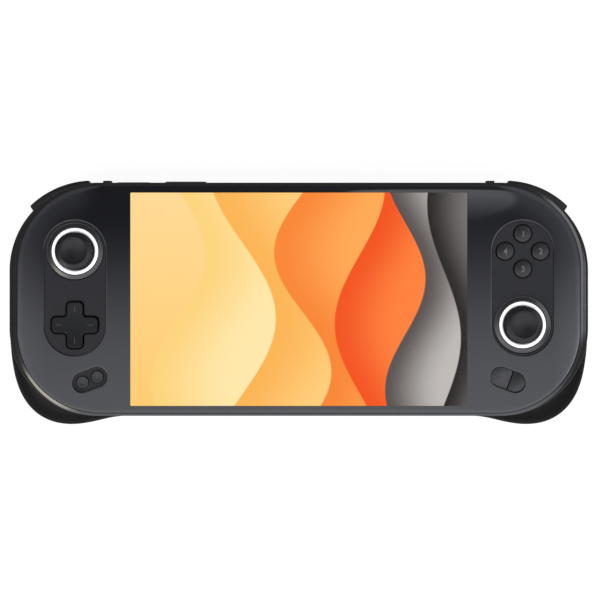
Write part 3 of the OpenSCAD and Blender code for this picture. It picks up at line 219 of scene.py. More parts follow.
def smooth_step(t):
    """Rises from 0 to 1 as t goes from 0 to 1, level at both ends: three t squared less two t cubed."""
    c = np.clip(t, 0, 1)
    return c * c * (3 - 2 * c)


def grip_share(p):
    """Share of the grips' full depth at plane points: a step outwards times a step towards the foot."""
    side = smooth_step((np.abs(p[..., 0]) - grip_span[0]) / (grip_span[1] - grip_span[0]))
    return side * (1 - smooth_step((p[..., 1] - grip_fade[0]) / (grip_fade[1] - grip_fade[0])))


def edge_swell(p):
    """Outward swell of the edge: bell curves of the distance along the outline, measured from the foot
    of the straight side, down and round the lower corner."""
    x, y = np.abs(p[:, 0]), p[:, 1]
    turn = np.arctan2(-corner_y - y, x - corner_x)
    s = np.where(y > -corner_y, -corner_y - y,
                 np.where(x < corner_x, body_r * np.pi / 2 + corner_x - x, body_r * turn))
    return sum(high * np.exp(-((s - place) / length) ** 2 / 2) for high, place, length in swells)


def cover_skin(outline, inset):
    """Skin of the cover, inset into its wall. From the parting line the edge runs in by a quarter cosine
    and down by a quarter sine, less the swell; then rings draw in to the flat of the back."""
    p, out = outline
    u = np.linspace(0, 1, edge_rows)[:, None]
    width = back_edge + (grip_edge - back_edge) * grip_share(p) - inset
    inward = width * (1 - np.cos(np.pi / 2 * u)) - edge_swell(p) * np.sin(np.pi * u ** swell_rise)
    edge = p - out * inward[..., None]
    share = np.linspace(0, 1, back_rows)[1:, None, None]
    flat = edge[-1] + (p * flat_share - edge[-1]) * share
    plane = np.concatenate([edge, flat])
    low = back_z - grip_depth * grip_share(plane) + inset
    drop = np.concatenate([np.sin(np.pi / 2 * u), np.ones((len(share), 1))])
    return np.dstack([plane, part_z - (part_z - low) * drop])


cover_steps = (56, (72, 14))
outer = cover_skin(round_outline(body_w, body_h, body_r, *cover_steps), 0)
inner = cover_skin(round_outline(body_w - 2 * cover_wall, body_h - 2 * cover_wall,
                                 body_r - cover_wall, *cover_steps), cover_wall)
parts = [grid(outer), grid(inner), grid([outer[0], inner[0]]),
         filled([outer[-1, :, :2]], outer[-1, 0, 2]), filled([inner[-1, :, :2]], inner[-1, 0, 2])]
cover_mesh = new_mesh("rear_cover", centred(parts))

# Openings of the cover: trigger pockets, screw wells, air inlet, air outlet and speaker slots
key_lean = 2.3
key_middle = np.array([-corner_x - key_lean, corner_y + face_y])
pocket_turn = (90.2, 136.3)
pocket_r = 31.0
case_screws = ((58, 41), (-58, 41), (46, -42), (-46, -42))
well_r = 2.65
well_top = 18.1
fan_at = (-3, 19)
speaker_x = 64
slot_pitch = 4
slot_half = 1
mirror = np.array([-1.0, 1.0])


def sector(r0, r1, turn, steps=40):
    """Plane loop of the part of a ring between two radii and two angles about the left shoulder keys."""
    d = unit(np.radians(np.linspace(*turn, steps)))
    return key_middle + np.concatenate([r1 * d, r0 * d[::-1]])


def box_loop(x0, x1, y0, y1):
    """Corners of an upright rectangle, anticlockwise."""
    return np.array([[x0, y0], [x1, y0], [x1, y1], [x0, y1]], float)


def settled(made):
    """Mesh that an object has after its modifiers, or as a text; the object is removed."""
    scene.collection.objects.link(made)
    bpy.context.view_layer.update()
    mesh = bpy.data.meshes.new_from_object(made.evaluated_get(bpy.context.evaluated_depsgraph_get()))
    bpy.data.objects.remove(made)
    return mesh


cuts = []
pocket = sector(pocket_r, 75, pocket_turn)
for loop in (pocket, (pocket * mirror)[::-1]):
    cuts += prism(loop, -5, part_z + 2)
for x, y in case_screws:
    cuts += prism(circle(well_r, 8)[0] + [x, y + face_y], back_z - 1, well_top)
inlet = round_outline(12, 1.8, 0.9, 6)[0]
for i in (-1, 0, 1):
    for j in range(8):
        at = [fan_at[0] + 15 * i, fan_at[1] + slot_pitch * (j - 3.5) + face_y]
        cuts += prism(inlet + at, back_z - 1, back_z + 3)
for i in range(12):
    x = fan_at[0] + slot_pitch * (i - 5.5)
    cuts += prism(box_loop(x - slot_half, x + slot_half, 45.4 + face_y, 60), 17.5, 22.8)
for side in (-1, 1):
    for i in range(6):
        x = speaker_x * side + slot_pitch * (i - 2.5)
        cuts += prism(box_loop(x - slot_half, x + slot_half, -60, -46.4 + face_y), 23.2, 25)
cutter = bpy.data.objects.new("cutter", new_mesh("cutter", cuts))
scene.collection.objects.link(cutter)
whole = bpy.data.objects.new("whole", cover_mesh)
opening = whole.modifiers.new("openings", "BOOLEAN")
opening.object = cutter
opening.solver = "MANIFOLD"
cover_mesh = settled(whole)
bpy.data.objects.remove(cutter)
grip_black = moulded("grip_black", (0.007, 0.007, 0.0072), 0.46, 3600, 0.000012, sheen=0.06)
piece("rear_cover_shell", cover_mesh, grip_black, replaces=("rear_cover",), sharp=32)


def spun(profile, middle, steps=96):
    """Round solid: a line of radius and height turned about a vertical axis through a plane point."""
    t = np.linspace(0, 2 * np.pi, steps, endpoint=False)
    r, z = np.asarray(profile, float).T
    rows = np.dstack([np.outer(r, np.cos(t)) + middle[0], np.outer(r, np.sin(t)) + middle[1],
                      np.repeat(z[:, None], steps, 1)])
    return grid(rows)


# Screw wells and the inner walls of the trigger pockets, moulded in one with the rear cover
inner_low = 15.5
screw_hole_r = 1.45
well_high = 20.5
well_out = 3.7
pocket_high = 19.8
well = np.array([(well_r, inner_low), (well_r, well_top), (screw_hole_r, well_top),
                 (screw_hole_r, well_high), (well_out, well_high), (well_out, inner_low),
                 (well_r, inner_low)])
inner_walls = [spun(well, (x, y + face_y), 32) for x, y in case_screws]
pocket_wall = sector(pocket_r - 1.2, pocket_r - 0.02, pocket_turn)
for loop in (pocket_wall, (pocket_wall * mirror)[::-1]):
    inner_walls += prism(loop, inner_low, pocket_high)
piece("rear_cover_walls", inner_walls, grip_black)

# Inside: boards, battery, cooling, sound and fasteners. They keep their CAD shapes and are seen only
# through the vents and ports, so each gets the finish of its own stock.
stock = (
    (moulded("board_green", (0.006, 0.03, 0.016), 0.35, 900, 0.00002, mottle=0.35),
     ("main_board", "io_board", "left_thumb_board", "right_thumb_board", "ssd")),
    (moulded("rolled_alloy", (0.62, 0.63, 0.65), 0.34, 1600, 0.00001, metal=1.0),
     ("chassis_plate", "fin_stack")),
    (moulded("plain_steel", (0.56, 0.57, 0.58), 0.28, 1800, 0.000008, metal=1.0),
     ("left_haptic_motor", "right_haptic_motor", "top_usb_port", "bottom_usb_port", "card_slot",
      "case_screws", "board_screws", "dpad_ball", "left_stick_base", "right_stick_base")),
    (moulded("blued_steel", (0.025, 0.025, 0.028), 0.42, 1800, 0.000008, metal=1.0),
     ("hinge_pins", "left_trigger_spring", "right_trigger_spring")),
    (moulded("drawn_copper", (0.72, 0.36, 0.2), 0.3, 1200, 0.00001, metal=1.0), ("heat_pipe",)),
    (moulded("shrink_film", (0.035, 0.06, 0.16), 0.3, 500, 0.00003), ("battery",)),
    (moulded("inner_black", (0.018, 0.018, 0.02), 0.5, 2400, 0.00002),
     ("fan_housing", "fan_impeller", "left_speaker", "right_speaker", "headphone_jack")),
    (moulded("natural_acetal", (0.6, 0.57, 0.5), 0.45, 1500, 0.00001),
     ("left_stick_yoke", "right_stick_yoke", "left_stick_pivot", "right_stick_pivot",
      "left_stick_stem", "right_stick_stem")),
    (moulded("silicone", (0.3, 0.32, 0.35), 0.7, 1400, 0.00001),
     ("dpad_membrane", "face_button_membrane")),
)
for finish, names in stock:
    for name in names:
        nodes[name].data.materials.clear()
        nodes[name].data.materials.append(finish)

# Display panel: a 16:10 lit panel bonded behind the glass. Its picture is a plain set of warm bands,
# from amber over orange to grey, each with a soft shadow along its waved edge. A band has its middle,
# sway, waves, phase and shading width in half screens, and its shadow and light colours.
screen_w = 151.0
screen_h = 95.6
bands = (
    (-0.72, 0.16, 2.6, 0.4, 0.5, (0.98, 0.66, 0.21), (1.0, 0.80, 0.40)),
    (-0.34, 0.20, 2.2, 1.9, 0.55, (0.97, 0.46, 0.09), (1.0, 0.62, 0.20)),
    (0.02, 0.17, 2.8, 3.4, 0.5, (0.95, 0.24, 0.035), (1.0, 0.40, 0.09)),
    (0.36, 0.15, 2.4, 5.2, 0.4, (0.90, 0.085, 0.012), (1.0, 0.22, 0.045)),
    (0.63, 0.12, 3.0, 0.9, 0.35, (0.10, 0.085, 0.083), (0.52, 0.49, 0.47)),
    (0.86, 0.10, 2.5, 2.4, 0.3, (0.024, 0.02, 0.02), (0.20, 0.185, 0.18)),
)
picture, tree = new_material("lit_picture")
shader = tree.nodes["Principled BSDF"]


def object_axes(tree):
    """Sockets of the three object coordinates, in metres."""
    place = tree.nodes.new("ShaderNodeTexCoord")
    axes = tree.nodes.new("ShaderNodeSeparateXYZ")
    tree.links.new(place.outputs["Object"], axes.inputs[0])
    return axes.outputs


def reckon(tree, operation, *terms):
    """One Math node over the given terms, each a socket or a number."""
    made = tree.nodes.new("ShaderNodeMath")
    made.operation = operation
    for k, term in enumerate(terms):
        if isinstance(term, (int, float)):
            made.inputs[k].default_value = term
        else:
            tree.links.new(term, made.inputs[k])
    return made.outputs[0]


def mixed(tree, share, a, b):
    """Colour between a and b by a share; a and b are sockets or linear colours."""
    made = tree.nodes.new("ShaderNodeMix")
    made.data_type = "RGBA"
    tree.links.new(share, made.inputs["Factor"])
    for slot_name, term in (("A", a), ("B", b)):
        if isinstance(term, tuple):
            made.inputs[slot_name].default_value = (*term, 1)
        else:
            tree.links.new(term, made.inputs[slot_name])
    return made.outputs["Result"]


def fade(tree, value, start, end, high, kind="SMOOTHSTEP"):
    """Level that goes from 0 at start to high at end."""
    made = tree.nodes.new("ShaderNodeMapRange")
    made.interpolation_type = kind
    preset(made, {"From Min": start, "From Max": end, "To Max": high})
    tree.links.new(value, made.inputs["Value"])
    return made.outputs[0]


axes = object_axes(tree)
across = reckon(tree, "MULTIPLY", axes["X"], 2000 / screen_w)
upward = reckon(tree, "MULTIPLY", axes["Y"], 2000 / screen_h)
band_edge = 0.006
paint = mixed(tree, reckon(tree, "MULTIPLY_ADD", upward, 0.5, 0.5), (1.0, 0.60, 0.16), (1.0, 0.70, 0.30))
for middle, sway, waves, phase, width, shade, light in bands:
    wave = reckon(tree, "SINE", reckon(tree, "MULTIPLY_ADD", upward, waves, phase))
    past = reckon(tree, "SUBTRACT", across, reckon(tree, "MULTIPLY_ADD", wave, sway, middle))
    inside = fade(tree, past, 0, band_edge, 1.0, "LINEAR")
    paint = mixed(tree, inside, paint, mixed(tree, fade(tree, past, 0, width, 1.0), shade, light))
tree.links.new(paint, shader.inputs["Emission Color"])
preset(shader, {"Emission Strength": 1.0, "Base Color": (0.004, 0.004, 0.004, 1), "Roughness": 0.4,
                "Specular IOR Level": 0.0})
nodes["display_panel"].data.materials.clear()
nodes["display_panel"].data.materials.append(picture)

# Front frame: the satin black rim round the glass, with a sloping facet along its inner edge, and the
# deck that the glass is bonded to. One moulding in filled nylon; keys and ports pass through its top
# and bottom walls.
face_z = 36.0
deck_top = 34.8
deck_low = 33.2
island_z = 35.6
key_z = 29.2
frame_wall = 2.2
rim_round = 2.2
control_x = 100.4
upper_y = 21.5
lower_y = -11.5
island_r = 13.75
groove_r = 13.1
frame_steps = (64, (90, 24))
frame_line, frame_out = round_outline(body_w, body_h, body_r, *frame_steps)
pocket_w = 252.7
pocket_h = 102.3
pocket_corner = 37.2
pocket_line, pocket_out = round_outline(pocket_w, pocket_h, pocket_corner, *frame_steps)
frame_parts = []


def carried(outline, profile):
    """Surface of a profile carried along an outline: each profile point is a distance outwards and a
    height."""
    p, out = outline
    return grid([ring_at(p + out * d, z) for d, z in profile])


lip = 0.08
lip_drop = 0.14
lip_edge = 0.1
facet_slope = 0.4
facet_most = 1.4
facet_share = 0.8
bend_gap = 0.05
bend_share = 0.55
crown_from = pocket_line + pocket_out * lip
crown = [ring_at(pocket_line, deck_top), ring_at(pocket_line, face_z - lip_drop - lip_edge)]
facet_w = np.minimum(facet_most, facet_share * ((frame_line - crown_from) * pocket_out).sum(1))
facet_drop = lip_drop + facet_slope * facet_w
for share in (0, 0.06, 0.94, 1):
    drop = lip_drop + (facet_drop - lip_drop) * share
    crown.append(ring_at(crown_from + pocket_out * (facet_w * share)[:, None], face_z - drop))
bend_from = crown_from + pocket_out * (facet_w + bend_gap)[:, None]
bend_pull = facet_drop + bend_share * (rim_round - facet_drop)
for t in np.linspace(0, 1, 12):
    drop = (1 - t) ** 2 * (facet_drop + bend_gap) + 2 * t * (1 - t) * bend_pull + t * t * rim_round
    crown.append(ring_at(bend_from + (frame_line - bend_from) * (1 - (1 - t) ** 2), face_z - drop))
frame_parts.append(grid(crown))

# Outer and inner wall, with the notch for each bumper; the straight top and bottom are flat panels
from_keys = np.stack([np.abs(frame_line[:, 0]), frame_line[:, 1]], 1) - [corner_x + key_lean, corner_y]
turn = 180 - np.degrees(np.arctan2(from_keys[:, 1], from_keys[:, 0]))
in_notch = (turn > pocket_turn[0]) & (turn < pocket_turn[1]) & (frame_line[:, 1] > 0)
foot = np.where(in_notch, deck_low, part_z)
foot_edge = 0.25
wall_top = ring_at(frame_line, face_z - rim_round)
wall_foot = ring_at(frame_line, foot + np.where(in_notch, 0, foot_edge))
inner_line = frame_line - frame_out * frame_wall
rim_foot = [wall_foot, ring_at(frame_line - frame_out * foot_edge, foot), ring_at(inner_line, foot)]
frame_parts.append(grid(rim_foot))
inner_top = ring_at(inner_line, deck_low)
top_keys = (("left_corner_key", -86.4, 4.2, 1.1), ("right_corner_key", 86.4, 4.2, 1.1),
            ("power_key", -74.6, 15.0, 0.4), ("volume_rocker", -51.0, 18.6, 0.7))
key_h = 3.0
key_gap = 0.25


def upright(loop, y):
    """Plane loop of x and height, stood up at the depth y."""
    return np.column_stack([loop[:, 0], np.full(len(loop), y), loop[:, 1]])


def edge_holes(end):
    """Loops, in x and height, of the holes in the top (1) or bottom (-1) wall."""
    hole_h = key_h + 2 * key_gap
    usb = round_outline(9.3, hole_h, hole_h / 2, 10)[0]
    if end < 0:
        jack = circle(2.7, 10)[0]
        return [usb + [0, key_z], jack + [26, key_z], box_loop(-32.15, -19.85, 27, 28.6)]
    keys = [round_outline(w + 2 * key_gap, hole_h, hole_h / 2, 10)[0] + [x, key_z]
            for name, x, w, out in top_keys]
    return keys + [usb + [60, key_z]]


straight = np.isclose(np.abs(frame_out[:, 1]), 1)
band = quads(2, len(frame_line))
for top_row, foot_row, depth in ((wall_top, wall_foot, 0), (inner_top, rim_foot[-1], frame_wall)):
    beside = straight & np.roll(straight, -1)
    verts = np.concatenate([top_row, foot_row])
    frame_parts.append((verts, band[~beside]))
    for end in (-1, 1):
        run = np.flatnonzero(straight & (frame_out[:, 1] * end > 0))
        loop = np.concatenate([top_row[run][:, [0, 2]], foot_row[run[::-1]][:, [0, 2]]])
        y = end * (body_h / 2 - depth)
        frame_parts.append(filled([loop] + edge_holes(end), lift=lambda flat, y=y: upright(flat, y)))
for end in (-1, 1):
    for loop in edge_holes(end):
        frame_parts.append(grid([upright(loop, end * (body_h / 2 - d)) for d in (0, frame_wall)]))


def cross_outline(span, arm, tip_r, root_r, steps=8):
    """Cross with round arm ends, anticlockwise: for each arm a hollow quarter circle at its root and two
    full ones at its tip. Gives points and outward directions."""
    t = np.linspace(0, np.pi / 2, steps + 1)
    root = unit(np.pi - t)
    low = np.stack([np.sin(t), -np.cos(t)], 1)
    high = unit(t)
    p = np.concatenate([[arm + root_r, -arm - root_r] + root_r * root,
                        [span - tip_r, tip_r - arm] + tip_r * low,
                        [span - tip_r, arm - tip_r] + tip_r * high])
    d = np.concatenate([-root, low, high])
    turned = [np.array([[c, s], [-s, c]]) for c, s in ((1, 0), (0, 1), (-1, 0), (0, -1))]
    return np.concatenate([p @ m for m in turned]), np.concatenate([d @ m for m in turned])


def turned_by(tilt):
    """Matrix that turns rows of plane points by tilt degrees."""
    c, s = math.cos(math.radians(tilt)), math.sin(math.radians(tilt))
    return np.array([[c, s], [-s, c]])


def moved(outline, middle, tilt=0.0):
    """Outline turned by tilt degrees and set at a plane point."""
    m = turned_by(tilt)
    return outline[0] @ m + middle, outline[1] @ m


left_stick = np.array([-control_x, upper_y])
right_stick = np.array([control_x, lower_y])
sticks = (("left", left_stick), ("right", right_stick))
pad_at = np.array([-control_x, lower_y])
face_at = np.array([control_x, upper_y])
face_reach = 7.9
compass = np.array([(1, 0), (0, 1), (-1, 0), (0, -1)])
pad_hole = moved(cross_outline(10.95, 4.2, 2.55, 1.1), pad_at)
face_holes = [moved(circle(4.25), face_at + face_reach * c) for c in compass]
pill_at = np.array([93.7, -36.0])
pill_tilt = 20.4
pill_half = 3.5
pill_cut = round_outline(16.2, 9.2, 4.6, 20)
left_pill = moved(round_outline(15.9, 8.9, 4.45, 20), pill_at * mirror, pill_tilt)
right_pill = moved(pill_cut, pill_at, -pill_tilt)
pill_axis = turned_by(pill_tilt)[0] * pill_half
small_at = [pill_at * mirror - pill_axis, pill_at * mirror + pill_axis]
small_holes = [moved(circle(3.0), p) for p in small_at]


def island_pair(r):
    """Outlines of the left and the right obround of radius r round the controls."""
    shape = round_outline(2 * r, upper_y - lower_y + 2 * r, r, 40)
    return [moved(shape, (side * control_x, (upper_y + lower_y) / 2)) for side in (-1, 1)]


islands = island_pair(island_r)
openings = [(p + 0.05 * d, d) for p, d in (*islands, left_pill, right_pill)]
window = box_loop(-77.85, 77.85, -49.35, 49.35)
frame_parts.append(grid([ring_at(window, deck_top), ring_at(window, deck_low)]))
frame_parts += [carried(hole, ((0, deck_top), (0, deck_low))) for hole in openings]
holes = [window] + [p for p, d in openings]
frame_parts.append(filled([pocket_line] + holes, deck_top))
frame_parts.append(filled([inner_line] + holes, deck_low))
rim_black = moulded("rim_black", (0.007, 0.007, 0.0075), 0.21, 2600, 0.0000001, spread=0.01)
piece("front_frame_rim", centred(frame_parts), rim_black, replaces=("front_frame",))

# Control islands: the raised obrounds of the front frame that carry the sticks, the pad and the
# buttons, with the sunk seat of the two small buttons. Fine-grained matt grey, edges just broken.
lip_w = 0.5
hole_lip_w = 0.45
island_lip = ((0, deck_low), (0, island_z - 0.08), (-0.02, island_z - 0.02), (-0.08, island_z),
              (-lip_w, island_z))
hole_lip = ((hole_lip_w, island_z), (0.18, island_z), (0.05, island_z - 0.05), (0, island_z - 0.18),
            (0, deck_low))
island_parts = []
for island, stick, others in zip(islands, (left_stick, right_stick), ([pad_hole], face_holes)):
    ring = moved(circle(groove_r), stick)
    island_parts.append(carried(island, island_lip))
    island_parts += [carried(hole, hole_lip) for hole in others]
    island_parts.append(carried(ring, ((0, island_z), (0, deck_low))))
    tops = [island[0] - lip_w * island[1], ring[0]] + [p + hole_lip_w * d for p, d in others]
    island_parts.append(filled(tops, island_z))
    island_parts.append(filled([island[0], ring[0]] + [p for p, d in others], deck_low))
pill_floor = face_z - 1.1
island_parts.append(carried(left_pill, ((0, deck_low), (0, pill_floor))))
island_parts += [carried(hole, ((0, pill_floor), (0, deck_low))) for hole in small_holes]
for z in (deck_low, pill_floor):
    island_parts.append(filled([left_pill[0]] + [p for p, d in small_holes], z))
island_grey = moulded("island_grey", (0.0148, 0.015, 0.0172), 0.55, 2600, 0.000012, sheen=0.14)
piece("front_frame_islands", centred(island_parts), island_grey, replaces=("front_frame",))

# Stick collars: a raised dark ring round each stick that slopes outwards to a fine groove. Each is
# moulded with its island and polished.
collar_dark = moulded("collar_dark", (0.01, 0.01, 0.0113), 0.29, 2600, 0.000002, spread=0.02)
collar_out = groove_r - 0.02
collar_slope = np.array([
    (collar_out, -0.02), (12.95, -0.1), (12.75, -0.25), (12.55, -0.31), (12.4, -0.28), (12.25, -0.2),
    (11.75, 0), (11.3, 0.19), (11.05, 0.29), (10.9, 0.33), (10.7, 0.33), (10.58, 0.28), (10.52, 0.1)])
collar = np.concatenate([[(collar_out, deck_low)], collar_slope + [0, island_z],
                         [(10.52, deck_low), (collar_out, deck_low)]])
for side, at in sticks:
    piece(side + "_stick_collar", [spun(collar, at + [0, face_y], 128)], collar_dark,
          sharp=50)

# Light rings: milky acrylic diffusers between the collars and the sticks, clipped in from behind and
# lit white from below. Their glow is painted brightest on top and darker down the inner wall, as painted
# shade.
ring_white = moulded("ring_white", (0.75, 0.76, 0.77), 0.35, 1500, 0.000005, mottle=0.02)
tree = ring_white.node_tree
# Emission fades from white at the top to grey lower down: painted shade where the cap shades the inner
# wall.
painted_shade_z = np.array([island_z - 0.7, island_z - 0.08]) * 0.001
glow_with_painted_shade = fade(tree, object_axes(tree)["Z"], *painted_shade_z, 1.0, "LINEAR")
shader = tree.nodes["Principled BSDF"]
tree.links.new(mixed(tree, glow_with_painted_shade, (0.3, 0.3, 0.3), (1.0, 1.0, 1.0)), shader.inputs["Emission Color"])
shader.inputs["Emission Strength"].default_value = 0.7
dome = np.linspace(0, np.pi / 2, 7)
ring_round = [0.3, 0.25]
ring_low = 32.4
light_ring = np.concatenate([
    [(9.0, ring_low), (11.2, ring_low), (11.2, deck_low - 0.02), (10.4, deck_low - 0.02)],
    [10.1, island_z - 0.25] + ring_round * unit(dome),
    [(9.6, island_z - 0.03), (9.35, island_z - 0.13), (9.1, island_z - 0.38), (8.85, island_z - 0.85),
     (8.66, island_z - 1.5), (8.6, deck_low), (9.0, deck_low), (9.0, ring_low)]])
for side, at in sticks:
    name = side + "_light_ring"
    piece(name + "_diffuser", [spun(light_ring, at + [0, face_y], 128)], ring_white,
          replaces=(name,), sharp=50)

# Thumbstick caps: a dished pad with a rounded rim on a short neck, and a ball-shaped skirt that
# closes the opening. Soft-touch rubber over a hard core, pressed onto the stem.
stick_z = 30.0
cap_rim = 41.6
dish_r = 5.45
dish_depth = 0.85
crest_r = 6.1
crest_h = 0.3
skirt_r = 8.9
skirt_in = 8.4
dish = np.linspace(0, 1, 14)
skirt = np.radians(np.linspace(23.9, 79.6, 16))
rim_rise = np.linspace(0, np.pi / 2, 8)
rim_side = np.array([(6.3, 0.01), (6.5, 0.06), (6.7, 0.13), (7.8, 0.55), (8.05, 0.67), (8.25, 0.83),
                     (8.37, 1.03), (8.4, 1.25), (8.35, 1.45), (8.15, 1.6), (7.8, 1.66)])
cap = np.concatenate([
    np.stack([dish_r * dish, cap_rim - crest_h - dish_depth * (1 - dish ** 2)], 1),
    ([crest_r, cap_rim - crest_h] + [dish_r - crest_r, crest_h] * unit(rim_rise))[1:],
    [0, cap_rim] + rim_side * [1, -1],
    [(4.9, 39.6), (4.4, 39.2)],
    np.stack([skirt_r * np.sin(skirt), stick_z + skirt_r * np.cos(skirt)], 1)[1:],
    np.stack([skirt_in * np.sin(skirt), stick_z + skirt_in * np.cos(skirt)], 1)[::-1],
    [(1.42, 37.4), (1.42, 39.9), (0, 39.9)]])
cap_rubber = moulded("cap_rubber", (0.009, 0.009, 0.0102), 0.3, 3200, 0.000004, sheen=0.18)
for side, at in sticks:
    piece(side + "_stick_cap_rubber", [spun(cap, at + [0, face_y], 128)], cap_rubber, side + "_stick",
          (side + "_stick_cap",), 42)

# Directional pad: one moulded cross in matt black with a dished face and rounded edges, a flange that
# keeps it behind the deck and a fine raised line on each arm. It rocks on a steel ball.
pad_black = moulded("pad_black", (0.0085, 0.0087, 0.01), 0.33, 3000, 0.000008, sheen=0.11)
pad_top = island_z + 1.4
pad_low = 31.2
pad_span = 10.35
pad_round = 0.55
pad_dip = 0.5
pad_line = moved(cross_outline(pad_span, 3.6, 2.0, 1.65), pad_at)
pad_profile = np.concatenate([
    [(0, pad_low), (0, pad_top - pad_round)],
    [-pad_round, pad_top - pad_round] + pad_round * unit(dome)])


def dished(loop, middle, top, dip, reach):
    """Dished face inside a star-shaped loop: the loop is drawn in to its middle in even steps, and a
    point lies below top by dip times one less the squared share of its distance in reach."""
    share = np.linspace(1, 0, 25)[:, None, None]
    plane = (loop - middle) * share
    z = top - dip * (1 - (plane ** 2).sum(2) / reach ** 2)
    return grid(np.dstack([plane + middle, z]))


pad_rim = pad_line[0] - pad_round * pad_line[1]
pad_fall = pad_dip * (1 - ((pad_rim - pad_at) ** 2).sum(1) / pad_span ** 2)
pad_side = [ring_at(pad_line[0] + pad_line[1] * d, z - pad_fall * (z > pad_low)) for d, z in pad_profile]
pad_flange = [(0, 30.75), (11.2, 30.75), (11.2, 31.7), (2.2, 31.7), (2.2, 30.75)]
pad_parts = [grid(pad_side), dished(pad_rim, pad_at, pad_top, pad_dip, pad_span),
             filled([pad_line[0]], pad_low), spun(pad_flange, pad_at, 64)]
piece("dpad_cross", centred(pad_parts), pad_black, "dpad", ("dpad",))
line_grey = moulded("line_grey", (0.028, 0.028, 0.03), 0.5, 2500, 0.000004)
line = round_outline(2.6, 0.3, 0.15, 5)
mark_reach = 7.1
mark_z = pad_top - pad_dip * (1 - (mark_reach / pad_span) ** 2)
marks = []
for way in compass:
    mark = moved(line, pad_at + way * mark_reach + [0, face_y], 90.0 * abs(way[1]))
    marks += prism(mark[0], mark_z - 0.25, mark_z + 0.1)
piece("dpad_lines", marks, line_grey, "dpad")

# Face buttons: four domed buttons of satin black plastic on one rubber membrane, each with a flange
# behind the deck and a plain printed number.
button_top = island_z + 1.5
button_r = 4.0
button_round = 1.0
dome_r = button_r - button_round
dome_bend = 0.026
flange = np.array([32.1, 33.1])
button_black = moulded("button_black", (0.01, 0.0102, 0.0118), 0.33, 3000, 0.000008, sheen=0.26)
print_grey = moulded("print_grey", (0.085, 0.085, 0.09), 0.5, 2500, 0.000004)
button_side = np.linspace(0, np.pi / 2, 13)
dome_run = np.linspace(0, dome_r, 11)
button = np.concatenate([
    [(0, flange[0]), (4.8, flange[0]), (4.8, flange[1]), (button_r, flange[1]),
     (button_r, button_top - button_round)],
    [dome_r, button_top - button_round] + [button_round, 0.75] * unit(button_side),
    np.stack([dome_r - dome_run, button_top - dome_bend * (dome_r - dome_run) ** 2], 1)])
number_h = 2.75
print_rise = 0.03


def number(text, middle):
    """Mesh of a printed numeral: the flat letter, centred and scaled to number_h, laid just over a
    button's dome, which falls away by dome_bend times the distance squared."""
    letter = bpy.data.curves.new("letter", "FONT")
    letter.body = text
    letter.resolution_u = 4
    letter.offset = 0.02
    flat = settled(bpy.data.objects.new("letter", letter))
    strokes = bmesh.new()
    strokes.from_mesh(flat)
    bmesh.ops.subdivide_edges(strokes, edges=strokes.edges, cuts=7)
    strokes.to_mesh(flat)
    strokes.free()
    p = np.array([v.co[:2] for v in flat.vertices])
    low, high = p.min(0), p.max(0)
    p = (p - (low + high) / 2) * number_h / (high[1] - low[1])
    rows = ring_at(p + middle, button_top + print_rise - dome_bend * (p ** 2).sum(1))
    flat.vertices.foreach_set("co", (rows * 0.001).ravel())
    return flat


for k, name in enumerate(("right", "top", "left", "bottom")):
    at = face_at + face_reach * compass[k] + [0, face_y]
    body = "face_button_" + name
    piece(body + "_dome", [spun(button, at, 72)], button_black, body, (body,), 50)
    made = piece(body + "_number", number("2143"[k], at), print_grey, body)
    thick = made.modifiers.new("print", "SOLIDIFY")
    thick.thickness = 0.00004
    thick.offset = -1

# Pill buttons: two small round buttons in the left recess, and a long and a short button that fill
# the right opening, split across it. All four are moulded in speckled grey-black plastic.
small_r = 2.75
small_round = 0.3
small_edge = island_z - 0.35
small = np.concatenate([
    [(0, flange[0]), (3.2, flange[0]), (3.2, flange[1]), (small_r, flange[1]), (small_r, small_edge)],
    [small_r - small_round, small_edge] + small_round * unit(button_side),
    [(1.6, island_z - 0.12), (0.8, island_z - 0.16), (0, island_z - 0.17)]])
pill_grey = moulded("pill_grey", (0.012, 0.0122, 0.0138), 0.28, 2200, 0.00001, mottle=0.35, sheen=0.3)
for name, at in (("view_button", small_at[0]), ("menu_button", small_at[1])):
    piece(name + "_disc", [spun(small, at + [0, face_y], 64)], pill_grey, name, (name,),
          50)
    bars = []
    for k in ((-0.45, 0.45) if name == "view_button" else (-0.6, 0.0, 0.6)):
        bar = moved(round_outline(1.5, 0.26, 0.13, 4), at + [0, face_y + k])
        bars += prism(bar[0], island_z - 0.2, island_z - 0.1)
    piece(name + "_mark", bars, line_grey, name)

split_at = 1.2
split_half = 0.2
half_r = 4.46


def half_pill(side):
    """Plane outline of the pill on one side of its split: a straight cut and a round end."""
    t = np.linspace(-np.pi / 2, np.pi / 2, 33)
    end = side * ([pill_half, 0] + half_r * unit(t))
    cut_x = split_at + side * split_half
    cut = np.array([[cut_x, half_r * side], [cut_x, -half_r * side]])
    return np.concatenate([end, cut])


def inset_outline(loop):
    """Loop with outward directions, each the mean of the directions of the edges beside the point,
    lengthened at corners so that an offset stays parallel."""
    step = np.roll(loop, -1, 0) - loop
    d = np.stack([step[:, 1], -step[:, 0]], 1) / np.linalg.norm(step, axis=1)[:, None]
    mean = d + np.roll(d, 1, 0)
    return loop, 2 * mean / (mean ** 2).sum(1)[:, None]


press_lip = 0.6
press_edge = ((0, flange[0]), (0, island_z - 0.16), (-0.05, island_z - 0.05), (-0.16, island_z),
              (-press_lip, island_z))
press_dome = 0.4
press_reach = 4.6
for name, side in (("home_button", -1), ("quick_button", 1)):
    shape = moved(inset_outline(half_pill(side)), pill_at + [0, face_y], -pill_tilt)
    middle = shape[0].mean(0)
    rim = shape[0] - press_lip * shape[1]
    fall = press_dome * ((rim - middle) ** 2).sum(1) / press_reach ** 2
    sides = [ring_at(shape[0] + shape[1] * d, z - fall * (z > flange[0])) for d, z in press_edge]
    parts = [grid(sides), dished(rim, middle, island_z - press_dome, -press_dome, press_reach),
             filled([shape[0]], flange[0])]
    piece(name + "_cap", parts, pill_grey, name, (name,))

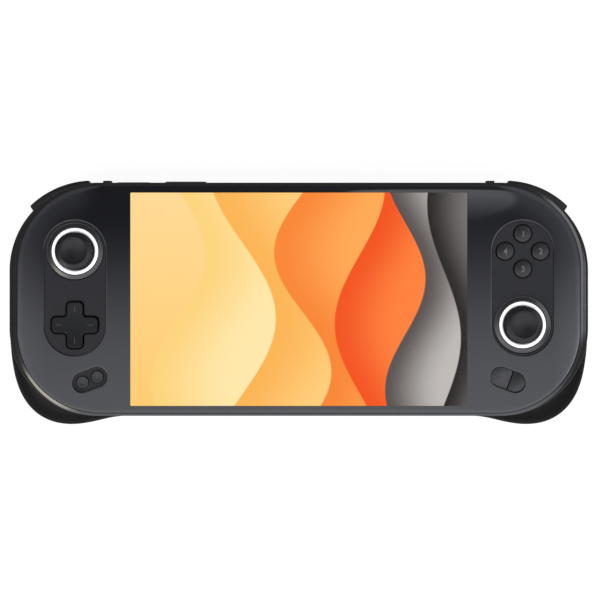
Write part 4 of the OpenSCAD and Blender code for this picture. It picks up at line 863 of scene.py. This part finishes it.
# Cover glass: one chemically hardened sheet over the whole front with a softly rolled edge, printed
# near-black behind and left clear over the screen. It is bonded into the frame's pocket.
glass_w = 252.15
glass_h = 101.75
glass_corner = 36.95
glass_low = deck_top + 0.02
edge_drop = 0.13
roll_w = 2.6
hole_edge_w = 0.42
island_gap_r = 13.9
p, out = round_outline(glass_w, glass_h, glass_corner, *frame_steps)
inward = np.array([0, 0.02, 0.05, 0.09, 0.14, 0.2, 0.28, 0.38, 0.5, 0.64, 0.8, 1.0])
rolled = [ring_at(p, glass_low), ring_at(p, face_z - edge_drop - 0.2)]
rolled += [ring_at(p - out * (roll_w * u), face_z - edge_drop * (1 - u) ** 5) for u in inward]
rolled.append(ring_at(p - out * (roll_w + 0.25), face_z))
hole_edge = ((hole_edge_w, face_z), (0.12, face_z), (0.03, face_z - 0.04), (0, face_z - 0.12),
             (0, glass_low))
clear = round_outline(screen_w, screen_h, 0.4, 4)
gaps = island_pair(island_gap_r) + [moved(pill_cut, pill_at * mirror, pill_tilt), right_pill]
glass_parts = [grid(rolled), carried(clear, ((0, face_z), (0, glass_low)))]
glass_parts += [carried(gap, hole_edge) for gap in gaps]
glass_parts.append(filled([rolled[-1][:, :2], clear[0]] + [q + hole_edge_w * d for q, d in gaps], face_z))
glass_parts.append(filled([p, clear[0]] + [q for q, d in gaps], glass_low))
glass_print = moulded("glass_print", (0.0065, 0.0067, 0.0085), 0.035, 1400, 0.0000002,
                      mottle=0.05, spread=0.005)
piece("front_glass_printed", centred(glass_parts), glass_print, replaces=("front_glass",))
pane, tree = new_material("clear_pane")
preset(tree.nodes["Principled BSDF"], {"Base Color": (1, 1, 1, 1), "Transmission Weight": 1.0,
                                       "Roughness": 0.0, "IOR": 1.04})
pane_line = round_outline(screen_w - 0.06, screen_h - 0.06, 0.37, 4)
pane_top = face_z - 0.01
pane_low = deck_top + 0.1
pane_edge = ((-0.1, pane_top), (0, face_z - 0.11), (0, pane_low))
pane_parts = [carried(pane_line, pane_edge), filled([pane_line[0] - 0.1 * pane_line[1]], pane_top),
              filled([pane_line[0]], pane_low)]
piece("front_glass_pane", centred(pane_parts), pane, replaces=("front_glass",))

# Shoulder keys: a bumper over a trigger on each upper corner, black moulded keys that follow the
# corner's curve. Each turns on a blued steel pin.
key_black = moulded("key_black", (0.0065, 0.0065, 0.0072), 0.34, 2800, 0.00001, sheen=0.25)


def rounded_section(points, r, steps=5):
    """Closed section with each corner cut by a round: from r before the corner to r after it, on the
    curve of two straight pulls to the corner."""
    p = np.asarray(points, float)
    before, after = np.roll(p, 1, 0), np.roll(p, -1, 0)
    size = np.broadcast_to(r, len(p))[:, None]
    start = p + (before - p) / np.linalg.norm(before - p, axis=1)[:, None] * size
    end = p + (after - p) / np.linalg.norm(after - p, axis=1)[:, None] * size
    t = np.linspace(0, 1, steps)[None, :, None]
    curve = (1 - t) ** 2 * start[:, None] + 2 * t * (1 - t) * p[:, None] + t ** 2 * end[:, None]
    return curve.reshape(-1, 2)


end_turn = 0.35
end_draw = 0.9


def swept_key(section, turn, slant, steps=48):
    """Section of radius and height carried round the shoulder keys' middle between two angles; slant
    turns the ends by degrees for each mm of radius. The last end_turn degrees at each end draw in."""
    middle = section.mean(0)
    t = np.linspace(0, 1, steps)
    t = np.concatenate([[0.0, 0.0], t[1:-1], [1.0, 1.0]])
    draw = np.ones(len(t))
    draw[[0, -1]] = end_draw
    shift = np.zeros(len(t))
    shift[[1, -2]] = end_turn, -end_turn
    r = middle[0] + (section[None, :, 0] - middle[0]) * draw[:, None]
    z = middle[1] + (section[None, :, 1] - middle[1]) * draw[:, None]
    first = turn[0] + slant[0] * (r - middle[0])
    last = turn[1] + slant[1] * (r - middle[0])
    a = np.radians(first + (last - first) * t[:, None] + shift[:, None])
    return np.dstack([key_middle[0] + r * np.cos(a), key_middle[1] + r * np.sin(a), z])


def closed_sweep(rows):
    """Swept rows with both ends closed by a fan round their middle."""
    n = rows.shape[1]
    j = np.arange(n)
    fan = np.stack([j, (j + 1) % n, np.full(n, n)], 1)
    ends = [(np.vstack([row, row.mean(0)]), fan) for row in (rows[0], rows[-1])]
    return [grid(rows)] + ends


bumper_r = 40.6
bumper_in = 35.6
bumper_z = (26.4, 33.0)
bumper = rounded_section([(bumper_in, bumper_z[0]), (bumper_r, bumper_z[0]), (bumper_r, bumper_z[1]),
                          (bumper_in, bumper_z[1])], (0.3, 1.0, 1.3, 0.3))
trigger_r = 40.3
trigger_z = (9.2, 25.7)
blade = rounded_section([(trigger_r - 3.4, trigger_z[1]), (trigger_r, trigger_z[1]), (trigger_r - 0.2, 20),
                         (trigger_r - 0.75, 15.5), (trigger_r + 0.15, trigger_z[0]),
                         (trigger_r - 2.9, trigger_z[0])], (0.3, 0.9, 2.5, 2.5, 1.0, 0.4), 7)
trigger_turn = 112.9
hinge_r = 31.4
hinge_z = 23.0
hub_r = 2.5
pin_hole_r = 1.4
arm_half = 2.25
arm_at = 4.55


def hinge_arm(at):
    """Arm of a trigger at a place along its pin: a tube round the pin, made by turning a section, and a
    bar from it into the back of the blade; both are turned to the middle of the trigger."""
    t = np.linspace(0, 2 * np.pi, 32, endpoint=False)
    r = np.array([pin_hole_r, hub_r, hub_r, pin_hole_r, pin_hole_r])[:, None]
    along = np.array([-1, -1, 1, 1, -1])[:, None] * arm_half + at
    rows = np.dstack([hinge_r + r * np.cos(t), along + 0 * t, hinge_z + r * np.sin(t)])
    bar = prism(box_loop(hinge_r + 2, trigger_r - 2.4, at - arm_half, at + arm_half),
                hinge_z - hub_r / 2, hinge_z + hub_r / 2)
    turned = turned_by(trigger_turn)
    made = [grid(rows)] + bar
    return [(np.column_stack([v[:, :2] @ turned + key_middle, v[:, 2]]), f) for v, f in made]


for side, flip in (("left", 1), ("right", -1)):
    bumper_parts = closed_sweep(swept_key(bumper, (91.2, 134.9), (0.45, -0.3)))
    trigger_parts = closed_sweep(swept_key(blade, (94.3, 131.5), (0.2, -0.2)))
    trigger_parts += hinge_arm(arm_at) + hinge_arm(-arm_at)
    for v, f in bumper_parts + trigger_parts:
        v[:, 0] *= flip
    for key, parts in (("bumper", bumper_parts), ("trigger", trigger_parts)):
        name = side + "_" + key
        piece(name + "_key", parts, key_black, name, (name,), 45)

# Keys of the top edge: two corner keys, the power key and the volume rocker, black mouldings with
# softened faces that stand a little out of the wall.
key_back = 48.2
for name, x, w, out in top_keys:
    line = moved(round_outline(w, key_h, key_h / 2, 12), (x, key_z))
    face = body_h / 2 + out
    profile = [(0, key_back), (0, face - 0.3), (-0.09, face - 0.09), (-0.3, face), (-0.5, face)]
    rows = np.stack([upright(line[0] + d * line[1], y + face_y) for d, y in profile])
    caps = [filled([row[:, [0, 2]]], lift=lambda flat, y=row[0, 1]: upright(flat, y))
            for row in (rows[0], rows[-1])]
    piece(name + "_face", [grid(rows)] + caps, key_black, name, (name,))

# Stage: a white floor that keeps the shadow, soft boxes and a camera straight above the screen. Its
# sizes are in metres.
scene.view_settings.view_transform = "Standard"


def stage_sheet(name, corners, z):
    """Level rectangle between two ends along x and two along y. It faces up, or down where the ends
    along x are swapped."""
    mesh = bpy.data.meshes.new(name)
    mesh.from_pydata([(x, y, z) for x, y in box_loop(*corners).tolist()], [], [(0, 1, 2, 3)])
    made = bpy.data.objects.new(name, mesh)
    scene.collection.objects.link(made)
    return made


floor = stage_sheet("floor", (-4, 4, -4, 4), -0.0002)
floor_white = 0.92
sky_fill = 0.05
gloss_share = 0.25


def background_share(tree):
    """Level of the white background for a ray: full for camera rays and through glass, and a share of it
    in glossy reflections, so that the black plastic keeps its depth."""
    ray = tree.nodes.new("ShaderNodeLightPath")
    seen = reckon(tree, "MAXIMUM", ray.outputs["Is Camera Ray"], ray.outputs["Is Transmission Ray"])
    mirrored = reckon(tree, "MULTIPLY", ray.outputs["Is Glossy Ray"], gloss_share)
    return reckon(tree, "MAXIMUM", seen, mirrored)


paper, tree = new_material("white_paper")
tree.nodes.remove(tree.nodes["Principled BSDF"])
matt = preset(tree.nodes.new("ShaderNodeBsdfDiffuse"), {"Color": (0.12, 0.12, 0.12, 1)})
lit = tree.nodes.new("ShaderNodeEmission")
tree.links.new(reckon(tree, "MULTIPLY", background_share(tree), floor_white), lit.inputs["Strength"])
both = tree.nodes.new("ShaderNodeAddShader")
tree.links.new(matt.outputs[0], both.inputs[0])
tree.links.new(lit.outputs[0], both.inputs[1])
tree.links.new(both.outputs[0], tree.nodes["Material Output"].inputs["Surface"])
floor.data.materials.append(paper)

world = bpy.data.worlds.new("studio")
scene.world = world
world.use_nodes = True
tree = world.node_tree
sky = tree.nodes["Background"]
sky.inputs["Color"].default_value = (1, 1, 1, 1)
level = reckon(tree, "MULTIPLY_ADD", background_share(tree), 1 - sky_fill, sky_fill)
tree.links.new(level, sky.inputs["Strength"])


def soft_box(name, place, aim, size, power, colour=(1, 1, 1)):
    """Area lamp of a width and a height in metres at a place, turned towards aim."""
    lamp = bpy.data.lights.new(name, "AREA")
    lamp.shape = "RECTANGLE"
    lamp.size, lamp.size_y = size
    lamp.energy = power
    lamp.color = colour
    holder = bpy.data.objects.new(name, lamp)
    holder.location = place
    away = np.array(place) - np.array(aim)
    flat = math.hypot(away[0], away[1])
    holder.rotation_euler = (math.atan2(flat, away[2]), 0, math.atan2(away[0], -away[1]))
    holder.visible_camera = False
    scene.collection.objects.link(holder)


# A warm box lights the lower left rim, a cool one the right rim, and the last two give the glass
# something to mirror when it is seen from other sides.
soft_box("warm_box", (-0.77, -0.68, 0.73), (-0.05, -0.06, 0.03), (0.56, 0.26), 4.6, (1, 0.93, 0.76))
soft_box("side_box", (0.9, 0.33, 0.73), (0.01, 0.042, 0.03), (0.91, 0.25), 2.85, (0.96, 0.98, 1))
soft_box("back_box", (0, 1.8, 0.9), (0, 0, 0.03), (2.8, 0.7), 1.6)
soft_box("front_box", (0, -3.0, 1.15), (0, 0, 0.03), (3.4, 1.2), 4)

# The main soft box hangs over the table: its cloth is bright in front and fades towards the back. A
# second, dimmer cloth behind it ends in a round corner, and wings and a glint light the sides. Levels
# are set by the places on the glass, in mm, at which the camera sees them mirrored.
box_z = 1.6
view_h = 0.8
cloth_box = stage_sheet("cloth", (1.7, -1.7, -2.6, 0.8), box_z)
cloth_box.visible_camera = False
cloth, tree = new_material("cloth")
tree.nodes.remove(tree.nodes["Principled BSDF"])
axes = object_axes(tree)
spread = 1000 / (1 + (box_z - face_z * 0.001) / view_h)
x = reckon(tree, "MULTIPLY", axes["X"], spread)
y = reckon(tree, "MULTIPLY", axes["Y"], spread)


def squared(value, middle=0.0, reach=1.0):
    """Square of the distance of a value from a middle, in units of reach."""
    return reckon(tree, "POWER", reckon(tree, "DIVIDE", reckon(tree, "SUBTRACT", value, middle), reach), 2)


def joined(operation, *terms):
    """Terms joined one after another by one operation."""
    level = terms[0]
    for term in terms[1:]:
        level = reckon(tree, operation, level, term)
    return level


main = joined("ADD", fade(tree, y, 41, -35, 1.8), fade(tree, y, -20, -60, 0.28),
              fade(tree, y, -35, -130, 0.55))
corner = fade(tree, joined("ADD", squared(x, 58.5, 38.7), squared(y, 45.5, 9.6)), 1.08, 0.9, 1.0)
second = joined("MULTIPLY", corner, squared(fade(tree, y, 30, 48, 1.36, "LINEAR")))
past_x = reckon(tree, "MAXIMUM", reckon(tree, "SUBTRACT", reckon(tree, "ABSOLUTE", x), 90.0), 0.0)
past_y = reckon(tree, "MAXIMUM", reckon(tree, "SUBTRACT", y, 15.0), 0.0)
off = reckon(tree, "SQRT", joined("ADD", squared(past_x), squared(past_y)))
right = fade(tree, x, -100, 100, 1.0)
near = joined("MULTIPLY", fade(tree, off, 24, 38, 0.8, "LINEAR"),
              reckon(tree, "MULTIPLY_ADD", right, 0.35, 0.8))
wings = joined("MULTIPLY", joined("ADD", near, fade(tree, off, 38, 52, 0.15)),
               fade(tree, off, 520, 400, 1.0), fade(tree, past_x, 0, 12, 1.0),
               fade(tree, y, -60, -20, 1.0))
from_glint = reckon(tree, "SQRT", joined("ADD", squared(x, 268.0), squared(y, -65.0)))
glint = fade(tree, from_glint, 95, 40, 2.4)
base = reckon(tree, "MULTIPLY_ADD", right, 0.13, 0.07)
lit = tree.nodes.new("ShaderNodeEmission")
lit.inputs["Color"].default_value = (0.95, 0.965, 1.03, 1)
tree.links.new(joined("ADD", main, second, wings, glint, base), lit.inputs["Strength"])
tree.links.new(lit.outputs[0], tree.nodes["Material Output"].inputs["Surface"])
cloth_box.data.materials.append(cloth)

lens = bpy.data.cameras.new("camera")
lens.sensor_width = 36
lens.lens = 107.1
camera = bpy.data.objects.new("camera", lens)
camera.location = (0.00054, face_y * 0.001 - 0.00034, 0.836)
scene.collection.objects.link(camera)
scene.camera = camera
